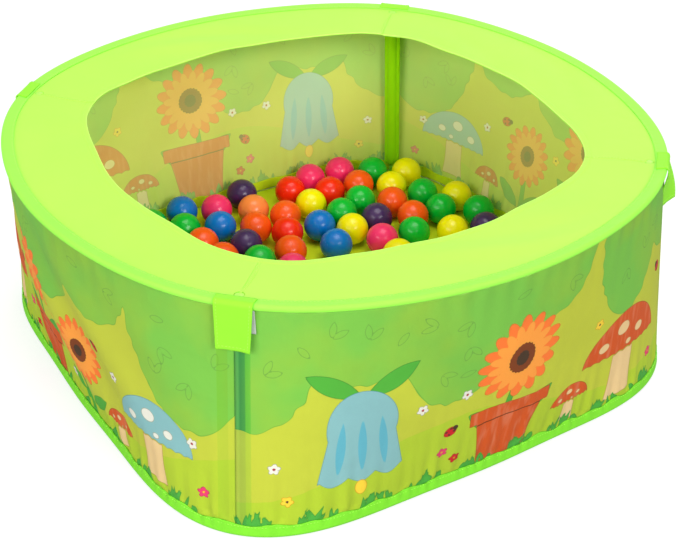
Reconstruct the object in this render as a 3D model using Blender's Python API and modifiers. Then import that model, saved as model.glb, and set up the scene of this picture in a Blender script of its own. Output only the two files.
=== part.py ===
"""A pop-up ball pit: printed cloth walls between two sprung wire hoops, with a pole in each corner.

A flat cloth collar runs round the opening. Tabs fold over the rim at the corners, outside the mouths
that the poles are drawn out of, and loose play balls lie on the floor sheet. Each hoop is a steel wire
closed by a crimped ferrule. A bias tape is folded over it, and the tape's two lips take in the cloth.

Metres, +Z up. The origin is on the ground under the middle, and the walls face +X, +Y, -X and -Y.
"""

import math

import bmesh
import bpy
import numpy as np
from mathutils import Matrix, Vector

# Overall form. A reach is the distance from the middle to an outer edge: at the middle of a side,
# half way from there to a corner, and at a corner
PIT_HEIGHT = 0.320
RIM_SIDE_REACH = 0.4352
RIM_MIDWAY_REACH = 0.4413
RIM_CORNER_REACH = 0.4530
OPENING_SIDE_REACH = 0.3150
OPENING_MIDWAY_REACH = 0.3210
OPENING_CORNER_REACH = 0.3450
BASE_SIDE_REACH = 0.3998
BASE_MIDWAY_REACH = 0.4279
BASE_CORNER_REACH = 0.4802

# Cloth, and the gap that pieces keep where they touch
CLOTH_THICKNESS = 0.0012
SEAM_GAP = 0.0003
WALL_BOW = 0.006
COLLAR_SAG = 0.005
HEM_WIDTH = 0.009
HEM_THICKNESS = 0.0026

# Hoops: wire, ferrule and the tape folded over them
WIRE_DIAMETER = 0.0040
FERRULE_BORE = 0.0044
FERRULE_DIAMETER = 0.0054
FERRULE_LENGTH = 0.022
TAPE_POCKET_GAP = 0.0004
RIM_TAPE_THICKNESS = 0.0012
BASE_TAPE_THICKNESS = 0.0014
RIM_BINDING_WIDTH = 0.017
BASE_BINDING_HEIGHT = 0.018
TUCK_MARGIN = 0.001

# Poles, their sleeves and the mouths in the collar
POLE_DIAMETER = 0.0090
CAP_DIAMETER = 0.0100
CAP_LENGTH = 0.018
CAP_DOME = 0.0016
POLE_TOP_DROP = 0.004
MOUTH_CLEARANCE = 0.0012
MOUTH_MARGIN = 0.0013
SLEEVE_WIDTH = 0.026
SLEEVE_CLOTH = 0.0008
SLEEVE_CLEARANCE = 0.0005

# Corner tabs and the care label
TAB_THICKNESS = 0.0016
TAB_ROOT_WIDTH = 0.047
TAB_END_WIDTH = 0.040
TAB_DROP = 0.060
TAB_STANDOFF = 0.004
TAB_MOUTH_GAP = 0.0028
LABEL_WIDTH = 0.016
LABEL_HEIGHT = 0.028
LABEL_THICKNESS = 0.0008
LABEL_FROM_SEAM = 0.020

# Balls
BALL_DIAMETER = 0.052
BALL_GAP = 0.0010

CUT_OVERRUN = 0.01

# Counts and angles
QUARTER_STEPS = 14
CORNER_CROWDING_SHARE = 0.4
POCKET_STEPS = 6
BOW_ROWS = 8
MOUTH_SEGMENTS = 16
POLE_SEGMENTS = 12
BALL_SEGMENTS = 12
BALL_RINGS = 8
SETTLE_ROUNDS = 200
SMOOTH_ANGLE = 40
TAPE_FOLD_ANGLES = (90, 135, 180, 225, 270)
TAB_FOLD_ANGLES = (85, 65, 45, 25, 5)
WELD_SHARE = 0.1

# What follows from the sizes above
POCKET_RADIUS = FERRULE_DIAMETER / 2 + TAPE_POCKET_GAP
RIM_TAPE_RADIUS = POCKET_RADIUS + RIM_TAPE_THICKNESS
BASE_TAPE_RADIUS = POCKET_RADIUS + BASE_TAPE_THICKNESS
RIM_MIDDLE = PIT_HEIGHT - RIM_TAPE_RADIUS
SLOT_HALF = CLOTH_THICKNESS / 2 + SEAM_GAP
WALL_TOP = RIM_MIDDLE - RIM_TAPE_RADIUS - SEAM_GAP
MOUTH_RADIUS = CAP_DIAMETER / 2 + MOUTH_CLEARANCE
MOUTH_INSET = RIM_BINDING_WIDTH + MOUTH_MARGIN + MOUTH_RADIUS
TAB_ROOT_INSET = MOUTH_INSET - MOUTH_RADIUS - TAB_MOUTH_GAP

RIM = (RIM_SIDE_REACH, RIM_MIDWAY_REACH, RIM_CORNER_REACH)
OPENING = (OPENING_SIDE_REACH, OPENING_MIDWAY_REACH, OPENING_CORNER_REACH)
BASE = (BASE_SIDE_REACH, BASE_MIDWAY_REACH, BASE_CORNER_REACH)

# Each corner's direction. A side has the name of the corner that it starts from
CORNERS = {"front": 225, "right": 315, "back": 45, "left": 135}
FERRULE_CORNER = 45

COLOURS = {
    "collar": (0.58, 0.98, 0.14),
    "binding": (0.38, 0.98, 0.08),
    "base_tape": (0.30, 0.86, 0.05),
    "wall": (0.30, 0.62, 0.10),
    "floor": (0.52, 0.72, 0.02),
    "sleeve": (0.15, 0.50, 0.01),
    "tab": (0.38, 0.98, 0.06),
    "label": (0.86, 0.88, 0.86),
    "steel": (0.55, 0.56, 0.58),
    "pole": (0.72, 0.74, 0.74),
    "ball_pink": (0.95, 0.03, 0.19),
    "ball_red": (0.90, 0.03, 0.01),
    "ball_orange": (0.98, 0.10, 0.01),
    "ball_peach": (0.98, 0.26, 0.06),
    "ball_yellow": (0.98, 0.75, 0.0),
    "ball_green": (0.0, 0.37, 0.03),
    "ball_blue": (0.0, 0.11, 0.41),
    "ball_purple": (0.05, 0.016, 0.10),
}

# Where the balls lie, as shares of the base's side reach along X and Y
BALL_PLACE_SHARES = (
    ("blue", -0.18, 0.88),
    ("green", -0.23, 0.75),
    ("pink", -0.05, 0.82),
    ("blue", -0.10, 0.69),
    ("purple", 0.10, 0.88),
    ("peach", 0.08, 0.74),
    ("orange", 0.02, 0.61),
    ("purple", -0.08, 0.51),
    ("orange", -0.22, 0.61),
    ("orange", -0.20, 0.47),
    ("green", -0.09, 0.38),
    ("orange", 0.05, 0.38),
    ("orange", 0.17, 0.63),
    ("red", 0.11, 0.51),
    ("pink", -0.01, 0.26),
    ("blue", 0.25, 0.49),
    ("blue", 0.23, 0.33),
    ("yellow", 0.31, 0.66),
    ("red", 0.29, 0.80),
    ("red", 0.43, 0.71),
    ("orange", 0.61, 0.50),
    ("green", 0.50, 0.58),
    ("green", 0.38, 0.53),
    ("purple", 0.48, 0.42),
    ("orange", 0.62, 0.36),
    ("green", 0.75, 0.35),
    ("green", 0.55, 0.25),
    ("yellow", 0.69, 0.18),
    ("purple", 0.82, 0.13),
    ("yellow", 0.35, 0.40),
    ("pink", 0.41, 0.27),
    ("yellow", 0.40, 0.14),
)


def clear_scene():
    """Removes whatever the new file starts with."""
    for thing in list(bpy.data.objects):
        bpy.data.objects.remove(thing, do_unlink=True)


def collection(name, render=True):
    made = bpy.data.collections.new(name)
    bpy.context.scene.collection.children.link(made)
    made.hide_render = not render
    return made


def material(name, roughness=0.75, metallic=0.0):
    """A plain finish under the name of its colour."""
    made = bpy.data.materials.new(name)
    made.use_nodes = True
    shader = made.node_tree.nodes["Principled BSDF"]
    shader.inputs["Base Color"].default_value = (*COLOURS[name], 1.0)
    shader.inputs["Roughness"].default_value = roughness
    shader.inputs["Metallic"].default_value = metallic
    return made


def add(name, data, finish, place=None):
    """Puts a mesh or a curve in the pit's collection as a named object."""
    made = bpy.data.objects.new(name, data)
    data.materials.append(finish)
    if place is not None:
        made.matrix_world = place
    pit.objects.link(made)
    return made


def reach_and_slope(reaches, azimuth):
    """The outline's reach at an azimuth in radians, and its rate of change.

    Two cosines, four and eight to the turn, carry it through the three named reaches.
    """
    side, midway, corner = reaches
    fourth = (side - corner) / 2
    eighth = ((side + corner) / 2 - midway) / 2
    mean = midway + eighth
    reach = mean + fourth * math.cos(4 * azimuth) + eighth * math.cos(8 * azimuth)
    slope = -4 * fourth * math.sin(4 * azimuth) - 8 * eighth * math.sin(8 * azimuth)
    return reach, slope


def outward(reaches, azimuth):
    """The outline's unit normal, level and pointing out."""
    reach, slope = reach_and_slope(reaches, azimuth)
    ahead = Vector((
        slope * math.cos(azimuth) - reach * math.sin(azimuth),
        slope * math.sin(azimuth) + reach * math.cos(azimuth),
        0,
    ))
    return Vector((ahead.y, -ahead.x, 0)).normalized()


def edge_point(reaches, azimuth, inset, height):
    """A point at a height, an inset inside the outline."""
    reach, _ = reach_and_slope(reaches, azimuth)
    on_outline = Vector((reach * math.cos(azimuth), reach * math.sin(azimuth), height))
    return on_outline - outward(reaches, azimuth) * inset


def quarter_azimuths(first_corner):
    """The stations from one corner to the next, both included, closer together near the corners."""
    start = math.radians(first_corner)
    steps = [k / QUARTER_STEPS for k in range(QUARTER_STEPS + 1)]
    shares = [t - CORNER_CROWDING_SHARE * math.sin(math.tau * t) / math.tau for t in steps]
    return [start + math.pi / 2 * share for share in shares]


def ring_azimuths():
    """The stations all the way round, each corner once."""
    return [azimuth for corner in CORNERS.values() for azimuth in quarter_azimuths(corner)[:-1]]


def side_azimuths(first_corner):
    """A panel's stations from one corner seam to the next, a hair short of both."""
    azimuths = quarter_azimuths(first_corner)
    back_off = SEAM_GAP / (2 * OPENING_CORNER_REACH)
    azimuths[0] += back_off
    azimuths[-1] -= back_off
    return azimuths


def skin(name, loops, closed, sheet=False):
    """A mesh through loops of points, each loop as long as the last, capped unless it closes.

    A sheet's loops run along one face of the cloth and back along the other. Both faces are split on
    the same diagonals, which keeps the cloth's thickness even where it twists.
    """
    mesh = bmesh.new()
    rows = [[mesh.verts.new(point) for point in loop] for loop in loops]
    pairs = list(zip(rows, rows[1:]))
    if closed:
        pairs.append((rows[-1], rows[0]))
    count = len(rows[0])
    for near, far in pairs:
        for k in range(count):
            after = (k + 1) % count
            quad = [near[k], near[after], far[after], far[k]]
            if not sheet:
                mesh.faces.new(quad)
                continue
            if k >= count // 2:
                quad = quad[1:] + quad[:1]
            mesh.faces.new(quad[:3])
            mesh.faces.new(quad[2:] + quad[:1])
    if not closed:
        mesh.faces.new(rows[0][::-1])
        mesh.faces.new(rows[-1])
    bmesh.ops.recalc_face_normals(mesh, faces=mesh.faces)
    data = bpy.data.meshes.new(name)
    mesh.to_mesh(data)
    mesh.free()
    return data


def smooth(data):
    data.shade_smooth()
    data.set_sharp_from_angle(angle=math.radians(SMOOTH_ANGLE))
    return data


def tape_section(tape_radius, tape, lip_length):
    """The folded tape's outline, as (along its lips from the wire, across them) points.

    It is round over the wire. Its two lips run to the cloth, with a slot between them, and the slot
    opens into the round pocket that holds the wire and its ferrule.
    """
    lip_half = SLOT_HALF + tape
    outside = [
        (tape_radius * math.cos(turn), tape_radius * math.sin(turn))
        for turn in (math.radians(a) for a in TAPE_FOLD_ANGLES)
    ]
    start = math.asin(SLOT_HALF / POCKET_RADIUS)
    sweep = math.tau - 2 * start
    pocket = [
        (POCKET_RADIUS * math.cos(turn), -POCKET_RADIUS * math.sin(turn))
        for turn in (start + sweep * k / POCKET_STEPS for k in range(POCKET_STEPS + 1))
    ]
    lower_lip = [(lip_length, -lip_half), (lip_length, -SLOT_HALF)]
    upper_lip = [(lip_length, SLOT_HALF), (lip_length, lip_half)]
    return outside + lower_lip + pocket + upper_lip


def rim_binding():
    """The tape on the rim hoop, its lips pointing in to the collar."""
    section = tape_section(RIM_TAPE_RADIUS, RIM_TAPE_THICKNESS, RIM_BINDING_WIDTH - RIM_TAPE_RADIUS)
    loops = [
        [edge_point(RIM, a, RIM_TAPE_RADIUS + along, RIM_MIDDLE + across) for along, across in section]
        for a in ring_azimuths()
    ]
    return smooth(skin("rim_binding", loops, closed=True))


def base_binding():
    """The tape on the base hoop, its lips pointing up to the wall."""
    section = tape_section(BASE_TAPE_RADIUS, BASE_TAPE_THICKNESS, BASE_BINDING_HEIGHT - BASE_TAPE_RADIUS)
    loops = [
        [edge_point(BASE, a, BASE_TAPE_RADIUS + across, BASE_TAPE_RADIUS + along) for along, across in section]
        for a in ring_azimuths()
    ]
    return smooth(skin("base_binding", loops, closed=True))


def hoop_wire(name, reaches, inset, height):
    """A closed steel wire, a hoop's inset inside the outline."""
    curve = bpy.data.curves.new(name, "CURVE")
    curve.dimensions = "3D"
    curve.bevel_depth = WIRE_DIAMETER / 2
    curve.bevel_resolution = 1
    spline = curve.splines.new("POLY")
    azimuths = ring_azimuths()
    spline.points.add(len(azimuths) - 1)
    for point, azimuth in zip(spline.points, azimuths):
        point.co = (*edge_point(reaches, azimuth, inset, height), 1)
    spline.use_cyclic_u = True
    return curve


def turned(name, profile, steps, finish, place):
    """A solid turned about Z from (radius, height) points that run down its outer side."""
    data = bpy.data.meshes.new(name)
    points = [(radius, 0, height) for radius, height in profile]
    data.from_pydata(points, [(k, k + 1) for k in range(len(points) - 1)], [])
    made = add(name, data, finish, place)
    screw = made.modifiers.new("turn", "SCREW")
    screw.steps = steps
    screw.render_steps = steps
    screw.use_merge_vertices = True
    screw.merge_threshold = WELD_SHARE * SEAM_GAP
    screw.use_smooth_shade = True
    return made


def aligned(place, direction):
    """The matrix that puts Z along a direction at a place."""
    return Matrix.Translation(place) @ direction.to_track_quat("Z", "Y").to_matrix().to_4x4()


def ferrule(name, reaches, inset, height):
    """The crimped steel tube over the wire's two ends, by the middle of the back side."""
    first = QUARTER_STEPS // 2
    a, b = [edge_point(reaches, t, inset, height) for t in quarter_azimuths(FERRULE_CORNER)[first:first + 2]]
    outer = FERRULE_DIAMETER / 2
    bore = FERRULE_BORE / 2
    half = FERRULE_LENGTH / 2
    profile = [(bore, half), (outer, half), (outer, -half), (bore, -half), (bore, half)]
    return turned(name, profile, POLE_SEGMENTS, steel, aligned((a + b) / 2, b - a))


def collar_drop(inset):
    """How far the collar's middle layer lies below the rim's middle, at an inset from the rim."""
    run = RIM_SIDE_REACH - OPENING_SIDE_REACH - RIM_BINDING_WIDTH
    return COLLAR_SAG * max(0.0, inset - RIM_BINDING_WIDTH) / run


def collar_panel(name, first_corner):
    """A mitred strip of the collar, tucked in the rim tape, with a folded hem at the opening."""
    tuck = RIM_TAPE_RADIUS + POCKET_RADIUS + TUCK_MARGIN
    half = CLOTH_THICKNESS / 2
    hem = HEM_THICKNESS / 2
    loops = []
    for azimuth in side_azimuths(first_corner):
        tucked = edge_point(RIM, azimuth, tuck, RIM_MIDDLE)
        lip = edge_point(RIM, azimuth, RIM_BINDING_WIDTH, RIM_MIDDLE)
        inner = edge_point(OPENING, azimuth, 0, RIM_MIDDLE - COLLAR_SAG)
        fold = lip.lerp(inner, 1 - HEM_WIDTH / (inner - lip).length)
        upper = [(tucked, half), (lip, half), (fold, half), (fold, hem), (inner, hem)]
        lower = [(point, -thick) for point, thick in reversed(upper)]
        loops.append([point + Vector((0, 0, thick)) for point, thick in upper + lower])
    return skin(name, loops, closed=False, sheet=True)


def wall_point(azimuth, height, off=0.0):
    """A point of the wall's middle layer, moved out by a distance.

    The wall stands upright in the base tape's slot. Above it, it runs straight to the rim hoop, and
    bows out a little half way up wherever no pole holds it.
    """
    foot = edge_point(BASE, azimuth, BASE_TAPE_RADIUS, BASE_BINDING_HEIGHT)
    head = edge_point(RIM, azimuth, RIM_TAPE_RADIUS, WALL_TOP)
    share = max(0.0, (height - foot.z) / (head.z - foot.z))
    free = math.cos(2 * azimuth) ** 2
    bow = WALL_BOW * free * math.sin(math.pi * share)
    level = foot.lerp(head, share)
    level.z = height
    return level + outward(BASE, azimuth) * (bow + off)


def wall_panel(name, first_corner):
    """One printed wall, from the base tape's slot to the underside of the rim tape."""
    slot_bottom = BASE_TAPE_RADIUS + POCKET_RADIUS + TUCK_MARGIN
    rise = WALL_TOP - BASE_BINDING_HEIGHT
    heights = [slot_bottom] + [BASE_BINDING_HEIGHT + rise * k / BOW_ROWS for k in range(BOW_ROWS + 1)]
    half = CLOTH_THICKNESS / 2
    loops = []
    for azimuth in side_azimuths(first_corner):
        outer = [wall_point(azimuth, height, half) for height in heights]
        inner = [wall_point(azimuth, height, -half) for height in reversed(heights)]
        loops.append(outer + inner)
    return skin(name, loops, closed=False, sheet=True)


def floor_sheet():
    """The floor's flat cloth, cut to meet the round foot of the base tape."""
    under_tape = math.sqrt(BASE_TAPE_RADIUS ** 2 - (BASE_TAPE_RADIUS - CLOTH_THICKNESS) ** 2)
    inset = BASE_TAPE_RADIUS + under_tape + SEAM_GAP
    curve = bpy.data.curves.new("floor_sheet", "CURVE")
    curve.dimensions = "2D"
    curve.fill_mode = "BOTH"
    curve.extrude = CLOTH_THICKNESS / 2
    spline = curve.splines.new("POLY")
    azimuths = ring_azimuths()
    spline.points.add(len(azimuths) - 1)
    for point, azimuth in zip(spline.points, azimuths):
        point.co = (*edge_point(BASE, azimuth, inset, 0), 1)
    spline.use_cyclic_u = True
    return curve


def pole_line(azimuth):
    """A pole's foot and the middle of its mouth: it stands inside the base tape and leans in a little."""
    cap = CAP_DIAMETER / 2
    mouth = edge_point(RIM, azimuth, MOUTH_INSET, RIM_MIDDLE - collar_drop(MOUTH_INSET))
    foot = edge_point(BASE, azimuth, 2 * BASE_TAPE_RADIUS + SEAM_GAP + cap, CLOTH_THICKNESS + SEAM_GAP)
    lean = (mouth - foot).normalized()
    tilt = math.hypot(lean.x, lean.y)
    foot.z += cap * tilt
    return foot, mouth


def pole(name, azimuth):
    """A straight pole with a domed cap pressed on each end."""
    foot, mouth = pole_line(azimuth)
    length = (mouth - foot).length - POLE_TOP_DROP
    rod = POLE_DIAMETER / 2
    cap = CAP_DIAMETER / 2
    upper = [(0, 0), (cap - CAP_DOME, 0), (cap, -CAP_DOME), (cap, -CAP_LENGTH), (rod, -CAP_LENGTH)]
    lower = [(radius, -length - drop) for radius, drop in reversed(upper)]
    profile = [(radius, drop + length) for radius, drop in upper + lower]
    return turned(name, profile, POLE_SEGMENTS, pole_finish, aligned(foot, mouth - foot))


def sleeve(name, azimuth):
    """The flat cloth tube round a pole, open at both ends, from the base tape to the collar."""
    foot, mouth = pole_line(azimuth)
    lean = (mouth - foot).normalized()
    across = Vector((-math.sin(azimuth), math.cos(azimuth), 0))
    deep = across.cross(lean)
    bore_half = CAP_DIAMETER / 2 + SLEEVE_CLEARANCE
    outer_half = bore_half + SLEEVE_CLOTH
    tilt = math.hypot(lean.x, lean.y)
    low = BASE_BINDING_HEIGHT + SEAM_GAP + outer_half * tilt
    high = mouth.z - CLOTH_THICKNESS / 2 - SEAM_GAP - outer_half * tilt
    ends = [foot + lean * ((height - foot.z) / lean.z) for height in (low, high)]

    def ring(middle, half_width, half_depth):
        turns = [math.tau * k / MOUTH_SEGMENTS for k in range(MOUTH_SEGMENTS)]
        return [middle + across * half_width * math.cos(t) + deep * half_depth * math.sin(t) for t in turns]

    half_width = SLEEVE_WIDTH / 2
    outside = [ring(end, half_width, outer_half) for end in ends]
    inside = [ring(end, half_width - SLEEVE_CLOTH, bore_half) for end in reversed(ends)]
    return smooth(skin(name, outside + inside, closed=True))


def tab_path():
    """The tab's middle line as (inset from the rim's edge, height, share of its length) points.

    It lies on the rim tape's upper lip from its sewn edge, goes round the hoop, and hangs down outside
    the wall, standing a little off it.
    """
    lift = SEAM_GAP + TAB_THICKNESS / 2
    bend = RIM_TAPE_RADIUS + lift
    lip_half = SLOT_HALF + RIM_TAPE_THICKNESS
    fall = math.atan2(RIM_TAPE_RADIUS - lip_half, RIM_BINDING_WIDTH - RIM_TAPE_RADIUS)
    root_run = TAB_ROOT_INSET - RIM_TAPE_RADIUS
    root = (TAB_ROOT_INSET + lift * math.sin(fall), RIM_MIDDLE + RIM_TAPE_RADIUS - root_run * math.tan(fall) + lift)
    turns = [math.radians(a) for a in TAB_FOLD_ANGLES]
    round_hoop = [(RIM_TAPE_RADIUS - bend * math.cos(t), RIM_MIDDLE + bend * math.sin(t)) for t in turns]
    low = PIT_HEIGHT - TAB_DROP
    corner = math.radians(CORNERS["front"])
    wall_reach = Vector(wall_point(corner, low)[:2]).length + CLOTH_THICKNESS / 2
    end = (RIM_CORNER_REACH - wall_reach - TAB_STANDOFF, low)
    middle = ((round_hoop[-1][0] + end[0]) / 2, (round_hoop[-1][1] + end[1]) / 2)
    points = [root] + round_hoop + [middle, end]
    steps = [math.dist(p, q) for p, q in zip(points, points[1:])]
    run = [sum(steps[:k]) / sum(steps) for k in range(len(points))]
    return [(inset, height, share) for (inset, height), share in zip(points, run)]


def tab(name, azimuth):
    """A cloth tab folded over the rim, narrower at its hanging end."""
    path = tab_path()
    across = Vector((-math.sin(azimuth), math.cos(azimuth), 0))
    middles = [edge_point(RIM, azimuth, inset, height) for inset, height, _ in path]
    loops = []
    for k, (middle, (_, _, share)) in enumerate(zip(middles, path)):
        ahead = (middles[min(k + 1, len(middles) - 1)] - middles[max(k - 1, 0)]).normalized()
        thick = across.cross(ahead) * (TAB_THICKNESS / 2)
        half = across * ((TAB_ROOT_WIDTH + (TAB_END_WIDTH - TAB_ROOT_WIDTH) * share) / 2)
        loops.append([middle + half + thick, middle - half + thick, middle - half - thick, middle + half - thick])
    return skin(name, loops, closed=False)


def care_label(name):
    """A blank label sewn in under the rim tape, beside the front corner seam."""
    seam = math.radians(CORNERS["front"])
    near = CLOTH_THICKNESS / 2 + SEAM_GAP
    far = near + LABEL_THICKNESS
    loops = []
    for side in (-1, 1):
        azimuth = seam + (LABEL_FROM_SEAM + side * LABEL_WIDTH / 2) / RIM_CORNER_REACH
        top = WALL_TOP - SEAM_GAP
        corners = [(top, near), (top, far), (top - LABEL_HEIGHT, far), (top - LABEL_HEIGHT, near)]
        loops.append([wall_point(azimuth, height, off) for height, off in corners])
    return skin(name, loops, closed=False)


def cut_mouths(panels):
    """Opens a round mouth for each pole, half in each of the two panels that meet at its corner."""
    names = list(CORNERS)
    for k, (corner, azimuth) in enumerate(CORNERS.items()):
        foot, mouth = pole_line(math.radians(azimuth))
        bpy.ops.mesh.primitive_cylinder_add(vertices=MOUTH_SEGMENTS, radius=MOUTH_RADIUS, depth=2 * CUT_OVERRUN)
        cutter = bpy.context.object
        cutter.name = f"mouth_cutter_{corner}"
        cutter.matrix_world = aligned(mouth, mouth - foot)
        for holder in list(cutter.users_collection):
            holder.objects.unlink(cutter)
        cutters.objects.link(cutter)
        cutter.hide_render = True
        cutter.display_type = "WIRE"
        for side in (names[k], names[k - 1]):
            cut = panels[side].modifiers.new(f"mouth_{corner}", "BOOLEAN")
            cut.operation = "DIFFERENCE"
            cut.object = cutter


def settled_places():
    """The balls' middles on the floor, with any two that are too close pushed apart in turn."""
    places = BASE_SIDE_REACH * np.array([row[1:] for row in BALL_PLACE_SHARES])
    pitch = BALL_DIAMETER + BALL_GAP
    for _ in range(SETTLE_ROUNDS):
        apart = places[:, None] - places[None]
        distance = np.linalg.norm(apart, axis=-1)
        np.fill_diagonal(distance, np.inf)
        push = np.maximum(0, pitch - distance) / 2 / distance
        places = places + (apart * push[..., None]).sum(axis=1)
        for k, (x, y) in enumerate(places):
            reach, _ = reach_and_slope(BASE, math.atan2(y, x))
            limit = reach - 2 * BASE_TAPE_RADIUS - pitch / 2
            places[k] *= min(1.0, limit / math.hypot(x, y))
    return places


def ball_mesh(colour):
    shape = bmesh.new()
    bmesh.ops.create_uvsphere(
        shape, u_segments=BALL_SEGMENTS, v_segments=BALL_RINGS, radius=BALL_DIAMETER / 2
    )
    data = bpy.data.meshes.new(f"ball_{colour}")
    shape.to_mesh(data)
    shape.free()
    data.shade_smooth()
    data.materials.append(material(f"ball_{colour}", roughness=0.15))
    return data


def add_balls():
    """Each ball on the floor sheet, named by its colour and its number in the table."""
    meshes = {}
    height = CLOTH_THICKNESS + SEAM_GAP + BALL_DIAMETER / 2
    for k, ((colour, _, _), (x, y)) in enumerate(zip(BALL_PLACE_SHARES, settled_places())):
        if colour not in meshes:
            meshes[colour] = ball_mesh(colour)
        made = bpy.data.objects.new(f"ball_{k + 1:02d}_{colour}", meshes[colour])
        made.location = (x, y, height)
        pit.objects.link(made)


clear_scene()
pit = collection("ball_pit")
cutters = collection("cutters", render=False)
steel = material("steel", roughness=0.3, metallic=1.0)
pole_finish = material("pole", roughness=0.45)
wall_finish = material("wall")
collar_finish = material("collar")
sleeve_finish = material("sleeve")
tab_finish = material("tab")

add("rim_binding", rim_binding(), material("binding"))
add("base_binding", base_binding(), material("base_tape"))
add("rim_hoop_wire", hoop_wire("rim_hoop_wire", RIM, RIM_TAPE_RADIUS, RIM_MIDDLE), steel)
add("base_hoop_wire", hoop_wire("base_hoop_wire", BASE, BASE_TAPE_RADIUS, BASE_TAPE_RADIUS), steel)
ferrule("rim_hoop_ferrule", RIM, RIM_TAPE_RADIUS, RIM_MIDDLE)
ferrule("base_hoop_ferrule", BASE, BASE_TAPE_RADIUS, BASE_TAPE_RADIUS)
add("floor_sheet", floor_sheet(), material("floor"), Matrix.Translation((0, 0, CLOTH_THICKNESS / 2)))

collars = {}
for side_name, start_corner in CORNERS.items():
    collars[side_name] = add(
        f"collar_{side_name}", collar_panel(f"collar_{side_name}", start_corner), collar_finish
    )
    add(f"wall_{side_name}", wall_panel(f"wall_{side_name}", start_corner), wall_finish)
cut_mouths(collars)

for corner_name, corner_azimuth in CORNERS.items():
    turn = math.radians(corner_azimuth)
    pole(f"pole_{corner_name}", turn)
    add(f"sleeve_{corner_name}", sleeve(f"sleeve_{corner_name}", turn), sleeve_finish)
    add(f"tab_{corner_name}", tab(f"tab_{corner_name}", turn), tab_finish)

add("care_label", care_label("care_label"), material("label"))
add_balls()
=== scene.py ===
"""The look of a pop-up ball pit: printed cloth walls between two sprung wire hoops, and loose play balls.

Metres, +Z up, with the origin on the ground under the middle. Each section dresses one piece, or one
group of like pieces, in the order in which the pit is put together.
"""

import math

import bmesh
import bpy
import numpy as np
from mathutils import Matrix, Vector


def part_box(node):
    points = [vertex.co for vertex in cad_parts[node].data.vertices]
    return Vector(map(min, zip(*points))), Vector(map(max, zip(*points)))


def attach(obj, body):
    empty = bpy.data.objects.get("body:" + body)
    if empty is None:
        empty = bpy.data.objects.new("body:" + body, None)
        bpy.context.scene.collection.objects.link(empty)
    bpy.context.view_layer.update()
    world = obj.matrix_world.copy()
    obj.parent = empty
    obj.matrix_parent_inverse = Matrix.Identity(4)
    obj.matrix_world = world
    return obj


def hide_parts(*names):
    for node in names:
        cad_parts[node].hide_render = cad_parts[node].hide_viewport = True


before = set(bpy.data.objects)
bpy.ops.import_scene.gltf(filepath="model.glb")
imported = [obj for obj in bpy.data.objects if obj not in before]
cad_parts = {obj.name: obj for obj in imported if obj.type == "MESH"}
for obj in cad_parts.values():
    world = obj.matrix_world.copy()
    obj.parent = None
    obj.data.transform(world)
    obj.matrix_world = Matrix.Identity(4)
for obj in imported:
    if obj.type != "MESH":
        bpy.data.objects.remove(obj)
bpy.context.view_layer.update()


# Hoops: two closed rings of 4 mm spring-steel wire that spring the pit open, each joined by a crimped
# ferrule. They lie sealed inside the rim tape and the base tape, so their own solids are kept.
STEEL_COLOUR = "#B4B7BA"
DRAW_MARK = 0.0006


def linear(code):
    """An sRGB hex value as linear red, green, blue and an alpha of 1."""
    channels = [int(code[k:k + 2], 16) / 255 for k in (1, 3, 5)]
    return (*[c / 12.92 if c <= 0.04045 else ((c + 0.055) / 1.055) ** 2.4 for c in channels], 1.0)


def new_material(name):
    """An empty node material with its shader and output, as (material, node tree, shader)."""
    made = bpy.data.materials.new(name)
    made.use_nodes = True
    return made, made.node_tree, made.node_tree.nodes["Principled BSDF"]


def node(tree, kind, inputs=None, **settings):
    """Adds a node with its settings. inputs gives each socket a value, or the socket that feeds it."""
    made = tree.nodes.new("ShaderNode" + kind)
    for key, value in settings.items():
        setattr(made, key, value)
    for key, value in (inputs or {}).items():
        if isinstance(value, bpy.types.NodeSocket):
            tree.links.new(value, made.inputs[key])
        else:
            made.inputs[key].default_value = value
    return made


def steel(name):
    """Cold-drawn spring steel: grey, fairly bright, with fine marks from the die."""
    made, tree, shader = new_material(name)
    place = node(tree, "TexCoord").outputs["Object"]
    marks = node(tree, "TexNoise", {"Vector": place, "Scale": 1 / DRAW_MARK, "Detail": 2.0})
    rough = node(tree, "MapRange", {"Value": marks.outputs[0], "To Min": 0.26, "To Max": 0.42})
    tree.links.new(rough.outputs[0], shader.inputs["Roughness"])
    shader.inputs["Base Color"].default_value = linear(STEEL_COLOUR)
    shader.inputs["Metallic"].default_value = 1.0
    return made


spring_steel = steel("cold_drawn_spring_steel")
for node_name in ("rim_hoop_wire", "rim_hoop_ferrule", "base_hoop_wire", "base_hoop_ferrule"):
    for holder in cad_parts[node_name].material_slots:
        holder.material = spring_steel


# Rim tape: a bias tape of lime taffeta, folded over the rim hoop. Its two lips take in the edge of the
# collar, and one line of lockstitch near their edge closes them, which draws up small puckers.
RIM_REACHES = (0.4352, 0.4413, 0.4530)
RIM_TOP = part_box("rim_binding")[1].z
RIM_TAPE_RADIUS = 0.0043
RIM_TAPE_WIDTH = 0.017
POCKET_RADIUS = 0.0031
SLOT_HALF = 0.0009
RIM_LIP_HALF = 0.0021
RIM_MIDDLE = RIM_TOP - RIM_TAPE_RADIUS
PUCKER_LENGTH = 0.011
PUCKER_DEPTH = 0.00022
STITCH_INSET = 0.0022
STITCH_LENGTH = 0.0030
STITCH_PITCH = 0.0042
THREAD_RADIUS = 0.00028
# A stitch's ends sink below the face of the cloth and its middle stands over it, in thread radii
THREAD_SINK = 0.9
THREAD_ARCH = 1.6
# Scales of the cloth's noises: soft folds about 36 mm apart, and uneven dye about 110 mm across
FOLD_SCALE = 28.0
DYE_SCALE = 9.0
# The twist of a thread's plies, about 0.7 mm
PLY_SCALE = 1500.0
OUTLINE_STEPS = 1400
LIME_TAPE = "#A4FA54"
LIME_THREAD = "#B9FF62"


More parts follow.
